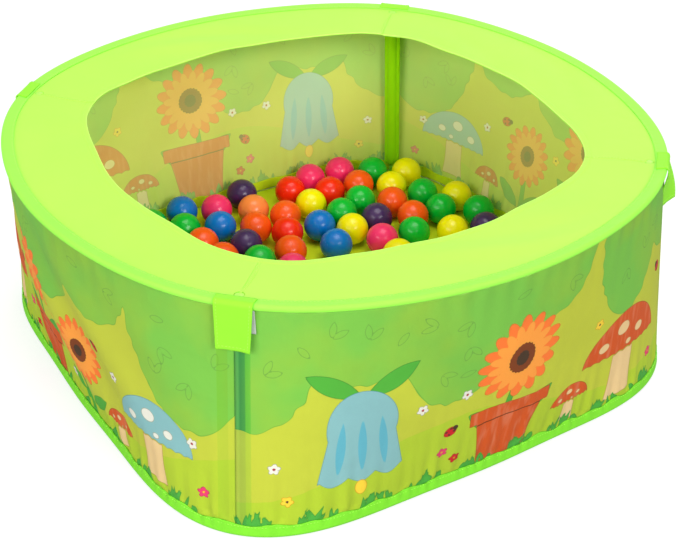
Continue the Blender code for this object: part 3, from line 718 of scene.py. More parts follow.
def printed(name, reverse, through):
    """Thin polyester, transfer printed. The reverse shows the same inks paler, through the cloth; part of
    that paleness is painted light for what comes through from outside.
    """

    def paint(tree):
        """Lays each ink over the last one, with its outline under it, by its depth attribute."""
        ground = node(tree, "RGB")
        ground.outputs[0].default_value = linear(GROUND_COLOUR)
        place = node(tree, "TexCoord").outputs["Object"]
        stretched = node(tree, "Mapping", {"Vector": place, "Scale": (1.0, 1.0, STREAK_STRETCH)})
        streaks = node(tree, "TexNoise", {
            "Vector": stretched.outputs[0], "Scale": STREAK_SCALE, "Detail": 2.0,
        })
        clouds = node(tree, "TexNoise", {"Vector": place, "Scale": CLOUD_SCALE, "Detail": 3.0})
        # Uneven inks: a noise picks where the second colour shows in the first, and how strongly
        uneven = {
            "canopy": (clouds, 0.42, 0.68, 0.8, MOTTLE_COLOUR),
            "brown": (streaks, 0.5, 0.72, 0.55, GRAIN_COLOUR),
        }
        depths = {}
        for k, (ink, _, _) in enumerate(INKS):
            if k % 3 == 0:
                group = node(tree, "Attribute", attribute_name=f"inks_{k // 3}")
                parts = node(tree, "SeparateXYZ", {0: group.outputs["Vector"]})
            depths[ink] = parts.outputs[k % 3]

        def inside(ink, inset=0.0):
            """The share of an ink at a point: 1 deeper inside than the inset, 0 outside, soft between."""
            return node(tree, "MapRange", {
                "Value": depths[ink], "From Min": inset - PRINT_EDGE, "From Max": inset + PRINT_EDGE,
            }).outputs[0]

        coats = []
        for ink, fill, outline in INKS:
            if ink == "leaf_line":
                inner = node(tree, "Math", {0: 1.0, 1: inside(ink, PRINT_LINE)}, operation="SUBTRACT")
                line = node(tree, "Math", {0: inside(ink), 1: inner.outputs[0]}, operation="MULTIPLY")
                faint = node(tree, "Math", {0: line.outputs[0], 1: LEAF_LINE_STRENGTH}, operation="MULTIPLY")
                coats.append((faint.outputs[0], linear(outline)))
                continue
            if fill is None:
                continue
            if outline is not None:
                coats.append((inside(ink), linear(outline)))
            body = linear(fill)
            if ink in uneven:
                noise, low, high, most, second = uneven[ink]
                patches = node(tree, "MapRange", {
                    "Value": noise.outputs[0], "From Min": low, "From Max": high, "To Max": most,
                })
                body = node(tree, "Mix", {
                    0: patches.outputs[0], 6: body, 7: linear(second),
                }, data_type="RGBA").outputs[2]
            coats.append((inside(ink, PRINT_LINE if outline else 0.0), body))
        if reverse:
            # The paler reverse, part its own colour and part painted light
            coats.append((PALE_REVERSE_AND_LIGHT_SHARE, linear(PALE_REVERSE_AND_LIGHT_COLOUR)))
        else:
            # Painted shade beside the corner seams, where the sleeve and its pole lie behind the cloth
            seam_shade_place = node(tree, "MapRange", {"Value": depths["backing"], "From Min": -DEEP, "From Max": DEEP})
            painted_shade_ramp = node(tree, "ValToRGB", {0: seam_shade_place.outputs[0]})
            stops = painted_shade_ramp.color_ramp.elements
            while len(stops) < len(PAINTED_SEAM_SHADE):
                stops.new(1.0)
            for stop, (distance, code, strength) in zip(stops, PAINTED_SEAM_SHADE):
                stop.position = 0.5 + distance / (2 * PAINTED_SHADE_REACH)
                stop.color = (*linear(code)[:3], strength)
            # The painted shade of what lies behind is strongest through the leafage, where the cloth carries
            # the least ink
            painted_shade_strength = node(tree, "MapRange", {"Value": inside("canopy"), "To Min": 0.4, "To Max": 1.0})
            painted_shade_mask = node(tree, "Math", {0: painted_shade_ramp.outputs[1], 1: painted_shade_strength.outputs[0]}, operation="MULTIPLY")
            coats.append((painted_shade_mask.outputs[0], painted_shade_ramp.outputs[0]))
        colour = ground.outputs[0]
        for mask, coat in coats:
            colour = node(tree, "Mix", {0: mask, 6: colour, 7: coat}, data_type="RGBA").outputs[2]
        return colour

    return cloth(name, None, roughness=0.55, weave=0.3, crease=0.45, through=through, paint=paint)


GARDEN_OF_BELLS = (
    (toadstool, (0.565, 0.100), 0.078),
    (toadstool, (0.472, 0.058), 0.034),
    (sunflower, (0.360, 0.185), 0.064),
    (pot, (0.360, 0.014), 0.098),
    (bellflower, (0.150, 0.125), 0.085),
    (ladybird, (0.268, 0.098), 0.7),
    (ladybird, (0.655, 0.185), 2.4),
    (posy, (0.045, 0.100), "white"),
    (posy, (0.262, 0.062), "pink"),
    (posy, (0.282, 0.045), "red"),
    (posy, (0.288, 0.150), "white"),
    (posy, (0.060, 0.052), "yellow"),
    (posy, (0.225, 0.150), "white"),
    (posy, (0.635, 0.060), "pink"),
    (posy, (0.500, 0.172), "yellow"),
)
BELL_LOBES = (
    (0.02, 0.090, 0.15), (0.15, 0.090, 0.205), (0.27, 0.092, 0.145), (0.385, 0.080, 0.225),
    (0.56, 0.082, 0.165), (0.665, 0.060, 0.215),
)
GARDEN_OF_TOADSTOOLS = (
    (toadstool, (0.105, 0.112), 0.082),
    (sunflower, (0.275, 0.190), 0.060),
    (pot, (0.275, 0.014), 0.092),
    (sunflower, (0.410, 0.130), 0.050),
    (toadstool, (0.575, 0.090), 0.066, "blue", "white"),
    (toadstool, (0.492, 0.052), 0.030),
    (ladybird, (0.185, 0.150), 1.1),
    (ladybird, (0.465, 0.170), 2.9),
    (posy, (0.198, 0.085), "pink"),
    (posy, (0.205, 0.048), "red"),
    (posy, (0.358, 0.060), "white"),
    (posy, (0.345, 0.150), "yellow"),
    (posy, (0.640, 0.115), "white"),
    (posy, (0.655, 0.050), "pink"),
    (posy, (0.505, 0.145), "white"),
)
TOADSTOOL_LOBES = (
    (0.03, 0.085, 0.175), (0.15, 0.070, 0.225), (0.34, 0.095, 0.185), (0.47, 0.085, 0.215),
    (0.635, 0.100, 0.13),
)
bells = (GARDEN_OF_BELLS, BELL_LOBES, 11)
toadstools = (GARDEN_OF_TOADSTOOLS, TOADSTOOL_LOBES, 12)
panel_prints = {"front": bells, "right": toadstools, "back": bells, "left": toadstools}

outer_print = printed("printed_polyester_face", reverse=False, through=0.34)
inner_print = printed("printed_polyester_reverse", reverse=True, through=0.05)
# Four rows where the base tape hides the panel, and the others where it shows
sight = BASE_TAPE_HEIGHT - 0.002
in_sight = np.linspace(sight, WALL_TOP, WALL_ROWS - 4)
heights = np.concatenate([np.linspace(SLOT_BOTTOM, sight, 5)[:-1], in_sight])
for side_name, first_corner in CORNERS.items():
    start = math.radians(first_corner)
    turn = np.linspace(start + SEAM_BACK_OFF, start + math.pi / 2 - SEAM_BACK_OFF, WALL_COLUMNS)
    turn_grid, height_grid = np.meshgrid(turn, heights)
    outer, inner = (wall_points(turn_grid, height_grid, side * WALL_THICKNESS / 2) for side in (1, -1))
    run = run_along(outer[WALL_ROWS // 2])
    x, y = np.meshgrid(run, heights)
    layers = garden(x, y, *panel_prints[side_name])
    # The painted shade's field, from the distances past one seam and before the next
    past_seam = np.clip(x, 0, PAINTED_SHADE_REACH)
    before_seam = np.clip(run[-1] - x, 0, PAINTED_SHADE_REACH)
    layers["backing"] = DEEP / PAINTED_SHADE_REACH * (past_seam - before_seam)
    stack = np.stack([layers[ink] for ink, _, _ in INKS], -1)
    both_skins = np.concatenate([stack, stack[::-1]])
    fields = {f"inks_{k}": both_skins[..., 3 * k:3 * k + 3] for k in range(len(INKS) // 3)}
    panel = two_skins(f"printed_wall_{side_name}", outer, inner, reverse_from=WALL_ROWS - 1, fields=fields)
    panel.data.materials.append(outer_print)
    panel.data.materials.append(inner_print)
    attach(panel, "pit")
    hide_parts(f"wall_{side_name}")


# Collar: four mitred strips of lime taffeta round the opening, tucked into the rim tape and turned
# under in a stitched hem. A round mouth at each corner, half in each strip, lets the pole be drawn.
OPENING_DROP = 0.005
HEM_WIDTH = 0.009
HEM_HALF = 0.0013
COLLAR_HALF = 0.0006
MOUTH_RADIUS = 0.0062
MOUTH_INSET = 0.0245
MOUTH_EASE = 0.030
HEM_STEP = 0.0012
# The share of a strip's width that is tucked into the rim tape
TUCKED_SHARE = 0.06
# Two low waves of a strip: height and wavelength, across its middle and along its hem
COLLAR_WAVE = (0.0010, 0.17)
HEM_WAVE = (0.0004, 0.11)
# The shares of a strip's width in which the mouths and the hem lie
MOUTH_SHARE = 0.24
HEM_SHARE = 0.10
COLLAR_COLUMNS = 240
# Columns crowd toward the corners, where the mouths are
COLUMN_CROWD = 0.8
PALE_ROWS = 4
HEM_STITCH_ROW = -10
COLLAR_COLOUR = "#BEFA5C"
PALE_HEM_COLOUR = "#C8FC6C"

collar_taffeta = cloth("lime_polyester_taffeta_collar", COLLAR_COLOUR, crease=0.22, through=0.2)
hem_taffeta = cloth("pale_lime_polyester_taffeta_hem", PALE_HEM_COLOUR, crease=0.1, through=0.12)


def corner_ways(corner):
    """A corner's two level unit directions: out along its diagonal, and across that."""
    diagonal = np.array([math.cos(corner), math.sin(corner), 0])
    return diagonal, np.array([-diagonal[1], diagonal[0], 0])


def hem_rise(over, width):
    """What the hem adds to half the cloth's thickness, at a share of the way over a strip of a width."""
    return (HEM_HALF - COLLAR_HALF) * np.clip((HEM_WIDTH - (1 - over) * width) / HEM_STEP, 0, 1)


def collar_surface(turn, share, side):
    """A collar strip's upper (side 1) or lower (side -1) skin.

    share runs from 0 at the tucked edge to 1 at the opening. The middle layer is level up to the rim
    tape's lip and then falls straight to the opening, with low waves, and the hem is thicker.
    """
    tuck = RIM_TAPE_RADIUS + POCKET_RADIUS + POCKET_CLEARANCE
    lip = edge(RIM_REACHES, turn, RIM_TAPE_WIDTH, RIM_MIDDLE)
    inner = edge(OPENING_REACHES, turn, 0, RIM_MIDDLE - OPENING_DROP)
    tucked = edge(RIM_REACHES, turn, tuck, RIM_MIDDLE)
    over = np.clip((share - TUCKED_SHARE) / (1 - TUCKED_SHARE), 0, 1)
    under = np.clip(share / TUCKED_SHARE, 0, 1)
    point = tucked + (lip - tucked) * under[..., None] + (inner - lip) * over[..., None]
    half = COLLAR_HALF + hem_rise(over, np.linalg.norm(inner - lip, axis=-1))
    run = turn * OPENING_REACHES[1]
    height, length = COLLAR_WAVE
    wave = height * ripple(run + 0.2 * over, length, 21) * np.sin(np.pi * over) * np.cos(2 * turn) ** 2
    height, length = HEM_WAVE
    wave = wave + height * ripple(run, length, 22) * over ** 3
    point[..., 2] += side * half + wave * np.clip(over * 8, 0, 1)
    return point


def open_mouth(points, corner):
    """Pushes the end of a strip aside round the pole's mouth.

    A point at a distance d along the corner's diagonal from the mouth's middle moves away from the
    diagonal by the circle's half chord there, fading out over MOUTH_EASE.
    """
    diagonal, across = (way[:2] for way in corner_ways(corner))
    out, _ = reach(RIM_REACHES, np.array(corner))
    along = out - MOUTH_INSET - points[..., :2] @ diagonal
    off = points[..., :2] @ across
    chord = np.sqrt(np.clip(MOUTH_RADIUS ** 2 - along ** 2, 0, None))
    push = chord * np.clip(1 - np.abs(off) / MOUTH_EASE, 0, 1) * np.sign(off)
    points[..., :2] += push[..., None] * across
    return points


# The rows of a strip: tucked in, round the mouths, over the open cloth, and crowding into the hem
tucked_rows = np.linspace(0, TUCKED_SHARE, 4)[:-1]
mouth_rows = np.linspace(TUCKED_SHARE, MOUTH_SHARE, 26)[:-1]
open_rows = np.linspace(MOUTH_SHARE, 1 - HEM_SHARE, 22)[:-1]
hem_rows = 1 - HEM_SHARE * np.linspace(1, 0, 15) ** 1.4
collar_shares = np.concatenate([tucked_rows, mouth_rows, open_rows, hem_rows])
even = np.linspace(0, 1, COLLAR_COLUMNS)
crowded = even - COLUMN_CROWD * np.sin(math.tau * even) / math.tau
for side_name, first_corner in CORNERS.items():
    start = math.radians(first_corner)
    turn = start + SEAM_BACK_OFF + (math.pi / 2 - 2 * SEAM_BACK_OFF) * crowded
    turn_grid, share_grid = np.meshgrid(turn, collar_shares)
    skins = [collar_surface(turn_grid, share_grid, side) for side in (1, -1)]
    top, bottom = (open_mouth(open_mouth(skin, start), start + math.pi / 2) for skin in skins)
    strip = two_skins(f"collar_strip_{side_name}", top, bottom)
    strip.data.materials.append(collar_taffeta)
    strip.data.materials.append(hem_taffeta)
    # The fold at the hem's edge catches the light, and looks paler
    row = np.arange(2 * len(collar_shares))
    pale = np.abs(row - len(collar_shares) + 0.5) < PALE_ROWS
    cells = np.repeat(pale, COLLAR_COLUMNS - 1)
    slots = np.zeros(len(strip.data.polygons), np.int32)
    slots[:len(cells)] = cells
    strip.data.polygons.foreach_set("material_index", slots)
    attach(strip, "pit")
    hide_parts(f"collar_{side_name}")
    width = float(run_along(top[:, COLLAR_COLUMNS // 2])[-1] + HEM_WIDTH)
    stitches(f"hem_stitches_{side_name}", top[HEM_STITCH_ROW], (0, 0, 1), lime_thread, "pit")


# Mitre seams: where two strips meet at a corner their edges are folded into each other and felled down
# under two lines of stitching, which leaves a raised, greener strip from the pole's mouth to the hem.
FELL_HALF = 0.0017
FELL_RISE = 0.0005
FELL_STITCH = 0.0011
FELL_BOW = 0.0040
FELL_PUCKER = 0.18
FELL_PUCKER_LENGTH = 0.006
# The strip starts by the mouth, and ends short of the opening's edge
FELL_START = 0.115
FELL_SHORT = 0.0006
FELL_COLOUR = "#AEF250"

fell_taffeta = cloth("felled_lime_polyester_taffeta", FELL_COLOUR, crease=0.2, through=0.05)
# Its section: a flattened dome, 1 - place to the fourth under a root, over a shallower one
place = np.linspace(-1, 1, 15)
dome = FELL_RISE * np.sqrt(1 - place ** 4)
dome = np.concatenate([dome, -0.5 * dome[::-1][1:-1]])
spread = FELL_HALF * np.concatenate([place, place[::-1][1:-1]])
over = np.linspace(FELL_START, 1.0, 90)
for corner_name, degrees in CORNERS.items():
    corner = math.radians(degrees)
    _, across = corner_ways(corner)
    lip = edge(RIM_REACHES, np.array(corner), RIM_TAPE_WIDTH, RIM_MIDDLE + COLLAR_HALF)
    inner = edge(OPENING_REACHES, np.array(corner), -FELL_SHORT, RIM_MIDDLE - OPENING_DROP + COLLAR_HALF)
    middle = lip + (inner - lip) * over[:, None]
    width = np.linalg.norm(inner - lip)
    middle[:, 2] += hem_rise(over, width)
    middle = middle + across * (FELL_BOW * np.sin(np.pi * (over - over[0]) / (1 - over[0])))[:, None]
    pucker = 1 + FELL_PUCKER * ripple(over * width, FELL_PUCKER_LENGTH, degrees)
    points = middle[:, None] + across * spread[None, :, None]
    points[..., 2] += dome[None] * pucker[:, None]
    points = np.concatenate([middle[:1, None] + 0 * points[:1], points, middle[-1:, None] + 0 * points[-1:]])
    fell = loft(f"felled_seam_{corner_name}", points, close_columns=True)
    weld_poles(fell)
    fell.data.materials.append(fell_taffeta)
    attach(fell, "pit")
    for line_name, side in (("left", -1), ("right", 1)):
        seam_line = middle + across * side * FELL_STITCH
        seam_line[:, 2] += FELL_RISE
        stitches(f"felled_stitches_{corner_name}_{line_name}", seam_line, (0, 0, 1), lime_thread, "pit")


# Sleeves: a flat tube of green polyester in each corner, sewn down both edges, from the base tape to
# the collar. The pole inside it raises a round ridge down its middle.
CAP_RADIUS = 0.0050
SLEEVE_HALF_WIDTH = 0.013
SLEEVE_CLEARANCE = 0.0005
SLEEVE_CLOTH = 0.0008
SLEEVE_TOP_GAP = 0.0005
# Half the thickness of the flats outside and inside, and the width of the sewn edge
FLAT_OUTSIDE = 0.0016
FLAT_INSIDE = 0.0008
SLEEVE_SEAM = 0.0022
RIDGE_EASE = 1.25
CRINKLE_DEPTH = 0.0004
CRINKLE_LENGTH = 0.03
SLEEVE_STEPS = 33
SLEEVE_COLOUR = "#AEF206"

sleeve_cloth = cloth("green_polyester_sleeve", SLEEVE_COLOUR, roughness=0.6, crease=0.35, through=0.3)


def pole_line(corner):
    """A pole's foot, the middle of its mouth, and the unit direction from one to the other.

    The foot is lifted until the lower edge of its leaning cap stands on the floor sheet.
    """
    fall = OPENING_DROP / (RIM_REACHES[0] - OPENING_REACHES[0] - RIM_TAPE_WIDTH)
    mouth_height = RIM_MIDDLE - fall * (MOUTH_INSET - RIM_TAPE_WIDTH)
    mouth = edge(RIM_REACHES, np.array(corner), MOUTH_INSET, mouth_height)
    foot_inset = 2 * BASE_TAPE_RADIUS + SEAM_GAP + CAP_RADIUS
    foot = edge(BASE_REACHES, np.array(corner), foot_inset, FLOOR_THICKNESS + SEAM_GAP)
    lean = (mouth - foot) / np.linalg.norm(mouth - foot)
    foot = foot + [0, 0, CAP_RADIUS * math.hypot(lean[0], lean[1])]
    return foot, mouth, lean


def sleeve_skin(middle, across, deep, crinkle, half_width, clear, flat):
    """One skin of a sleeve: flat at both edges, with the pole's round ridge between.

    Each ring goes once round, over the front and back again. Its depth is the greater of half a circle
    of the radius clear, eased in width, and the flat's, which rounds off at the edges. The crinkle
    moves both sides together, and grows with the square of the share of the width.
    """
    share = np.concatenate([np.linspace(-1, 1, SLEEVE_STEPS), np.linspace(1, -1, SLEEVE_STEPS)[1:-1]])
    side = np.repeat([1.0, -1.0], [SLEEVE_STEPS, SLEEVE_STEPS - 2])
    place = half_width * share
    ridge = np.sqrt(np.clip(1 - (place / (clear * RIDGE_EASE)) ** 2, 0, 1)) * clear
    depth = np.maximum(ridge, flat * (1 - np.abs(share) ** 8))
    depth = depth * side + crinkle * share ** 2 * (np.abs(share) < 1)
    return middle[:, None] + across * place[:, None] + deep * depth[..., None]


bore = CAP_RADIUS + SLEEVE_CLEARANCE
for corner_name, degrees in CORNERS.items():
    corner = math.radians(degrees)
    _, across = corner_ways(corner)
    foot, mouth, lean = pole_line(corner)
    deep = np.cross(across, lean)
    tilt_room = (bore + SLEEVE_CLOTH) * math.hypot(lean[0], lean[1])
    low = BASE_TAPE_HEIGHT + SEAM_GAP + tilt_room
    high = mouth[2] - COLLAR_HALF - SEAM_GAP - tilt_room - SLEEVE_TOP_GAP
    rise = np.linspace(low, high, 90)
    middle = foot + lean * ((rise - foot[2]) / lean[2])[:, None]
    crinkle = CRINKLE_DEPTH * ripple(rise, CRINKLE_LENGTH, degrees)[:, None]
    path = (middle, across, deep, crinkle)
    outside = sleeve_skin(*path, SLEEVE_HALF_WIDTH, bore + SLEEVE_CLOTH, FLAT_OUTSIDE)
    inside = sleeve_skin(*path, SLEEVE_HALF_WIDTH - SLEEVE_SEAM, bore, FLAT_INSIDE)
    points = np.concatenate([outside, inside[::-1]])
    tube = loft(f"pole_sleeve_{corner_name}", points, close_rows=True, close_columns=True)
    weld_poles(tube)
    tube.data.materials.append(sleeve_cloth)
    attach(tube, "pit")
    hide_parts(f"sleeve_{corner_name}")


# Poles: a straight extruded tube of pale green plastic in each sleeve, with a moulded cap pressed on
# both ends. A pole stands on the floor sheet. Its upper cap has a lime button head that fills its mouth
# in the collar, where it is gripped to draw the pole up.
POLE_RADIUS = 0.0045
CAP_LENGTH = 0.018
CAP_DOME = 0.0016
CAP_CHAMFER = (0.0003, 0.0004)
CAP_SLACK = 0.00001
POLE_TOP_DROP = 0.004
POLE_COLOUR = "#C9E6C0"
CAP_COLOUR = "#A6EA54"
BUTTON_RADIUS = 0.0058
BUTTON_EDGE = 0.0010
# Scales of the plastic's noises: orange peel about 2.4 mm apart, and uneven polish about 17 mm across
PEEL_SCALE = 420.0
POLISH_SCALE = 60.0


def moulded(name, colour, roughness, coat=0.0):
    """Injection-moulded or extruded polyethylene: satin, with a faint orange peel."""
    made, tree, shader = new_material(name)
    place = node(tree, "TexCoord").outputs["Object"]
    peel = node(tree, "TexNoise", {"Vector": place, "Scale": PEEL_SCALE, "Detail": 2.0})
    bump = node(tree, "Bump", {"Height": peel.outputs[0], "Strength": 0.06, "Distance": 0.0003})
    polish = node(tree, "TexNoise", {"Vector": place, "Scale": POLISH_SCALE})
    rough = node(tree, "MapRange", {
        "Value": polish.outputs[0], "To Min": roughness * 0.85, "To Max": roughness * 1.15,
    })
    shade = node(tree, "MapRange", {"Value": polish.outputs[0], "To Min": 0.97, "To Max": 1.03})
    toned = node(tree, "HueSaturation", {"Value": shade.outputs[0], "Color": linear(colour)})
    tree.links.new(toned.outputs[0], shader.inputs["Base Color"])
    tree.links.new(rough.outputs[0], shader.inputs["Roughness"])
    tree.links.new(bump.outputs[0], shader.inputs["Normal"])
    shader.inputs["Specular IOR Level"].default_value = 0.3
    shader.inputs["Coat Weight"].default_value = coat
    shader.inputs["Coat Roughness"].default_value = 0.1
    return made


def turned(name, profile, foot, axis, steps=40):
    """A profile of (radius, distance along the axis), low to high, turned about an axis from its foot."""
    turn = np.linspace(0, math.tau, steps, endpoint=False)
    side = np.cross(axis, [0.0, 1.0, 0.0])
    side = side / np.linalg.norm(side)
    other = np.cross(axis, side)
    radius, along = profile.T
    spokes = np.cos(turn)[:, None] * side + np.sin(turn)[:, None] * other
    points = foot + radius[:, None, None] * spokes[None] + along[:, None, None] * axis
    piece = loft(name, points, close_columns=True)
    weld_poles(piece)
    return piece


pole_plastic = moulded("extruded_polyethylene_pole", POLE_COLOUR, 0.38)
cap_plastic = moulded("moulded_polyethylene_cap", CAP_COLOUR, 0.55)
# A cap's profile as (radius, distance from its end): a rounded rim, then the chamfered end of its skirt
quarter = np.linspace(0, math.pi / 2, 7)
dome = np.stack([CAP_RADIUS - CAP_DOME * (1 - np.sin(quarter)), CAP_DOME * (1 - np.cos(quarter))], 1)
chamfer = (CAP_RADIUS - CAP_CHAMFER[0], CAP_LENGTH)
skirt = np.array([(CAP_RADIUS, CAP_LENGTH - CAP_CHAMFER[1]), chamfer, (POLE_RADIUS, CAP_LENGTH)])
# The upper cap's button, from its neck over its rounded edge to the top, measured from the mouth
neck = BUTTON_EDGE * np.array([-1.4, -1.2, -0.2])
neck = np.stack([[CAP_RADIUS, BUTTON_RADIUS, BUTTON_RADIUS], neck], 1)
rounding = np.linspace(0, math.pi / 2, 9)[1:]
crown = np.stack([BUTTON_RADIUS * np.cos(rounding), BUTTON_EDGE * (np.sin(rounding) - 0.2)], 1)
button = np.concatenate([neck, crown])
for corner_name, degrees in CORNERS.items():
    foot, mouth, lean = pole_line(math.radians(degrees))
    flush = float(np.linalg.norm(mouth - foot))
    length = flush - POLE_TOP_DROP
    upper_skirt = [0, length] + skirt[::-1] * [1, -1]
    profile = np.concatenate([[(0, 0)], dome, skirt, upper_skirt, [0, flush] + button])
    rod = turned(f"corner_pole_{corner_name}", profile, foot, lean)
    rod.data.materials.append(pole_plastic)
    rod.data.materials.append(cap_plastic)
    centres = np.empty(3 * len(rod.data.polygons), np.float32)
    rod.data.polygons.foreach_get("center", centres)
    height_along = (centres.reshape(-1, 3) - foot) @ lean
    # The end face of a skirt belongs to its cap
    on_cap = (height_along < CAP_LENGTH + CAP_SLACK) | (height_along > length - CAP_LENGTH - CAP_SLACK)
    rod.data.polygons.foreach_set("material_index", on_cap.astype(np.int32))
    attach(rod, f"pole_{corner_name}")
    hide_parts(f"pole_{corner_name}")


# Corner tabs: a doubled strip of bright lime taffeta, turned in and topstitched round its edge. Each
# is sewn down on the rim tape's inner lip, folds over the rim and hangs outside the wall.
TAB_HALF = 0.0008
TAB_ROOT_WIDTH = 0.047
TAB_END_WIDTH = 0.040
TAB_DROP = 0.060
TAB_STANDOFF = 0.004
TAB_ROOT_INSET = 0.0155
TAB_COLOUR = "#98EE36"
TAB_COLUMNS = 41
# The share of its length from which a tab hangs free, and there the curl of its sides and its ripples
TAB_FREE_FROM = 0.35
TAB_CURL = 0.0016
TAB_RIPPLE = 0.0005
TAB_RIPPLE_LENGTH = 0.03
# Inside the turned hem the cloth is thinner by this share, past a step of this width
TAB_HEM = 0.0035
TAB_HEM_STEP = 0.0008
TAB_THINNER = 0.28
# Stitches start at this row and run this many columns and rows in from the edge
TAB_STITCH_START = 8
TAB_STITCH_INSET = 3
# The tab bends round the tape between these angles over the level, in degrees
TAB_BEND = (88, 2)
# How each tab happens to hang: the turn of its free end about a plumb line, and how far it bows outward
TAB_HANGS = {"front": (0.0, 0.0), "right": (0.46, 0.0010), "back": (-0.18, 0.003), "left": (0.15, 0.003)}

tab_taffeta = cloth("bright_lime_polyester_taffeta_tab", TAB_COLOUR, crease=0.3, through=0.15)
lift = SEAM_GAP + TAB_HALF
bend = RIM_TAPE_RADIUS + lift
slope = math.atan2(RIM_TAPE_RADIUS - RIM_LIP_HALF, rim_lip)
root_run = TAB_ROOT_INSET - RIM_TAPE_RADIUS
root = np.array([TAB_ROOT_INSET + lift * math.sin(slope), RIM_TOP - root_run * math.tan(slope) + lift])
arc = np.radians(np.linspace(*TAB_BEND, 14))
fold = np.stack([RIM_TAPE_RADIUS - bend * np.cos(arc), RIM_MIDDLE + bend * np.sin(arc)], 1)
top = root + (fold[0] - root) * np.linspace(0, 1, 7)[:-1, None]
low = RIM_TOP - TAB_DROP
place = np.linspace(-1, 1, TAB_COLUMNS)[None]
for corner_name, degrees in CORNERS.items():
    corner = math.radians(degrees)
    diagonal, across = corner_ways(corner)
    # The path as (inset from the rim, height): up the tape, round its edge, and down beside the wall
    wall_face = wall_points(np.array([corner]), np.array([low]), WALL_THICKNESS / 2)[0, :2]
    end = np.array([RIM_REACHES[2] - float(np.linalg.norm(wall_face)) - TAB_STANDOFF, low])
    path = np.concatenate([top, fold, fold[-1] + (end - fold[-1]) * np.linspace(0, 1, 26)[1:, None]])
    along = run_along(path)
    share = (along / along[-1])[:, None]
    width = TAB_ROOT_WIDTH + (TAB_END_WIDTH - TAB_ROOT_WIDTH) * share
    offset = place * width / 2
    hanging = np.clip((share - TAB_FREE_FROM) / (1 - TAB_FREE_FROM), 0, 1)
    curl = TAB_CURL * hanging ** 2 * place ** 2
    curl = curl + TAB_RIPPLE * hanging * ripple(offset, TAB_RIPPLE_LENGTH, degrees)
    twist, bow = TAB_HANGS[corner_name]
    angle = twist * np.sin(np.pi / 2 * hanging)
    breadth = across * np.cos(angle) + diagonal * np.sin(angle)
    middle = edge(RIM_REACHES, np.full(len(path), corner), path[:, 0], path[:, 1])
    middle = middle + diagonal * (bow * np.sin(0.8 * np.pi * hanging))
    border = np.minimum(width / 2 - np.abs(offset), (along[-1] - along)[:, None])
    hem = np.clip(1 - (border - TAB_HEM) / TAB_HEM_STEP, 0, 1)
    thick = TAB_HALF * (1 - TAB_THINNER + TAB_THINNER * hem)
    out = np.cross(np.gradient(middle, axis=0), breadth)
    out = out * (np.sign(out[len(top), 2]) / np.linalg.norm(out, axis=1))[:, None]
    base = middle[:, None] + breadth[:, None] * offset[..., None] + out[:, None] * curl[..., None]
    face, back = (base + out[:, None] * (side * thick)[..., None] for side in (1, -1))
    flap = two_skins(f"corner_tab_{corner_name}", back, face)
    flap.data.materials.append(tab_taffeta)
    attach(flap, f"tab_{corner_name}")
    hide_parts(f"tab_{corner_name}")
    # One line of stitches down a side, along the free end and up the other side
    inset = TAB_STITCH_INSET
    sides = slice(TAB_STITCH_START, -inset)
    free_end = face[-inset, inset:-inset]
    seam_line = np.concatenate([face[sides, inset], free_end, face[sides, -inset - 1][::-1]])
    end_normals = np.broadcast_to(out[-inset], free_end.shape)
    normals = np.concatenate([out[sides], end_normals, out[sides][::-1]])
    stitches(f"tab_stitches_{corner_name}", seam_line, normals, lime_thread, f"tab_{corner_name}")


# Care label: a small blank strip of white satin ribbon, caught in the rim seam beside the front tab. It
# hangs down the wall a little aslant, and its free end stands off.
LABEL_WIDTH = 0.016
LABEL_HEIGHT = 0.028
LABEL_THICKNESS = 0.0008
LABEL_FROM_SEAM = 0.020
LABEL_SLANT = 0.0035
LABEL_STANDOFF = 0.0012
LABEL_COLOUR = "#C6CCC4"

seam = math.radians(CORNERS["front"])
turn = seam + (LABEL_FROM_SEAM + np.linspace(-0.5, 0.5, 13) * LABEL_WIDTH) / RIM_REACHES[2]
height = np.linspace(WALL_TOP - SEAM_GAP - LABEL_HEIGHT, WALL_TOP - SEAM_GAP, 20)
turn_grid, height_grid = np.meshgrid(turn, height)
hang = (WALL_TOP - height_grid) / LABEL_HEIGHT
turn_grid = turn_grid - LABEL_SLANT * (1.3 - 0.6 * hang) / RIM_REACHES[2]
near = WALL_THICKNESS / 2 + SEAM_GAP + LABEL_STANDOFF * hang ** 2
face, back = (wall_points(turn_grid, height_grid, near + depth) for depth in (LABEL_THICKNESS, 0))
label = two_skins("blank_care_label", face, back)
label.data.materials.append(cloth("white_satin_ribbon", LABEL_COLOUR, roughness=0.35, through=0.2))
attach(label, "pit")
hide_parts("care_label")


# Play balls: blow-moulded soft polyethylene, 52 mm across, in eight colours. Each has a fine parting
# line where the mould closed and a small pinched spot on it, and lies as it happened to roll.
BALL_RADIUS = 0.026
BALL_SEGMENTS = 64
BALL_RINGS = 33
PARTING_HEIGHT = 0.00016
PARTING_WIDTH = 0.0007
PIP_DEPTH = 0.0005
PIP_WIDTH = 0.0018
# The rings crowd toward the parting line by this share
RING_CROWD = 0.48
BALL_COLOURS = {
    "pink": "#FF2E70", "red": "#FC2606", "orange": "#FF5710", "peach": "#FF8A44", "yellow": "#FFEC00",
    "green": "#00B632", "blue": "#0072CC", "purple": "#43245A",
}
# Ten more balls, which are no bodies of the frame and ride on the pit: colour, x and y
OUTER_BALLS = (
    ("green", 0.273, 0.306), ("yellow", 0.322, 0.274), ("pink", 0.224, 0.336), ("yellow", 0.348, 0.161),
    ("pink", 0.167, 0.340), ("yellow", 0.273, 0.246), ("green", 0.351, 0.103), ("green", 0.304, 0.198),
    ("green", -0.133, 0.338), ("orange", 0.227, 0.279),
)

ball_finishes = {
    colour: moulded(f"blow_moulded_polyethylene_{colour}", code, 0.26, coat=0.1)
    for colour, code in BALL_COLOURS.items()
}


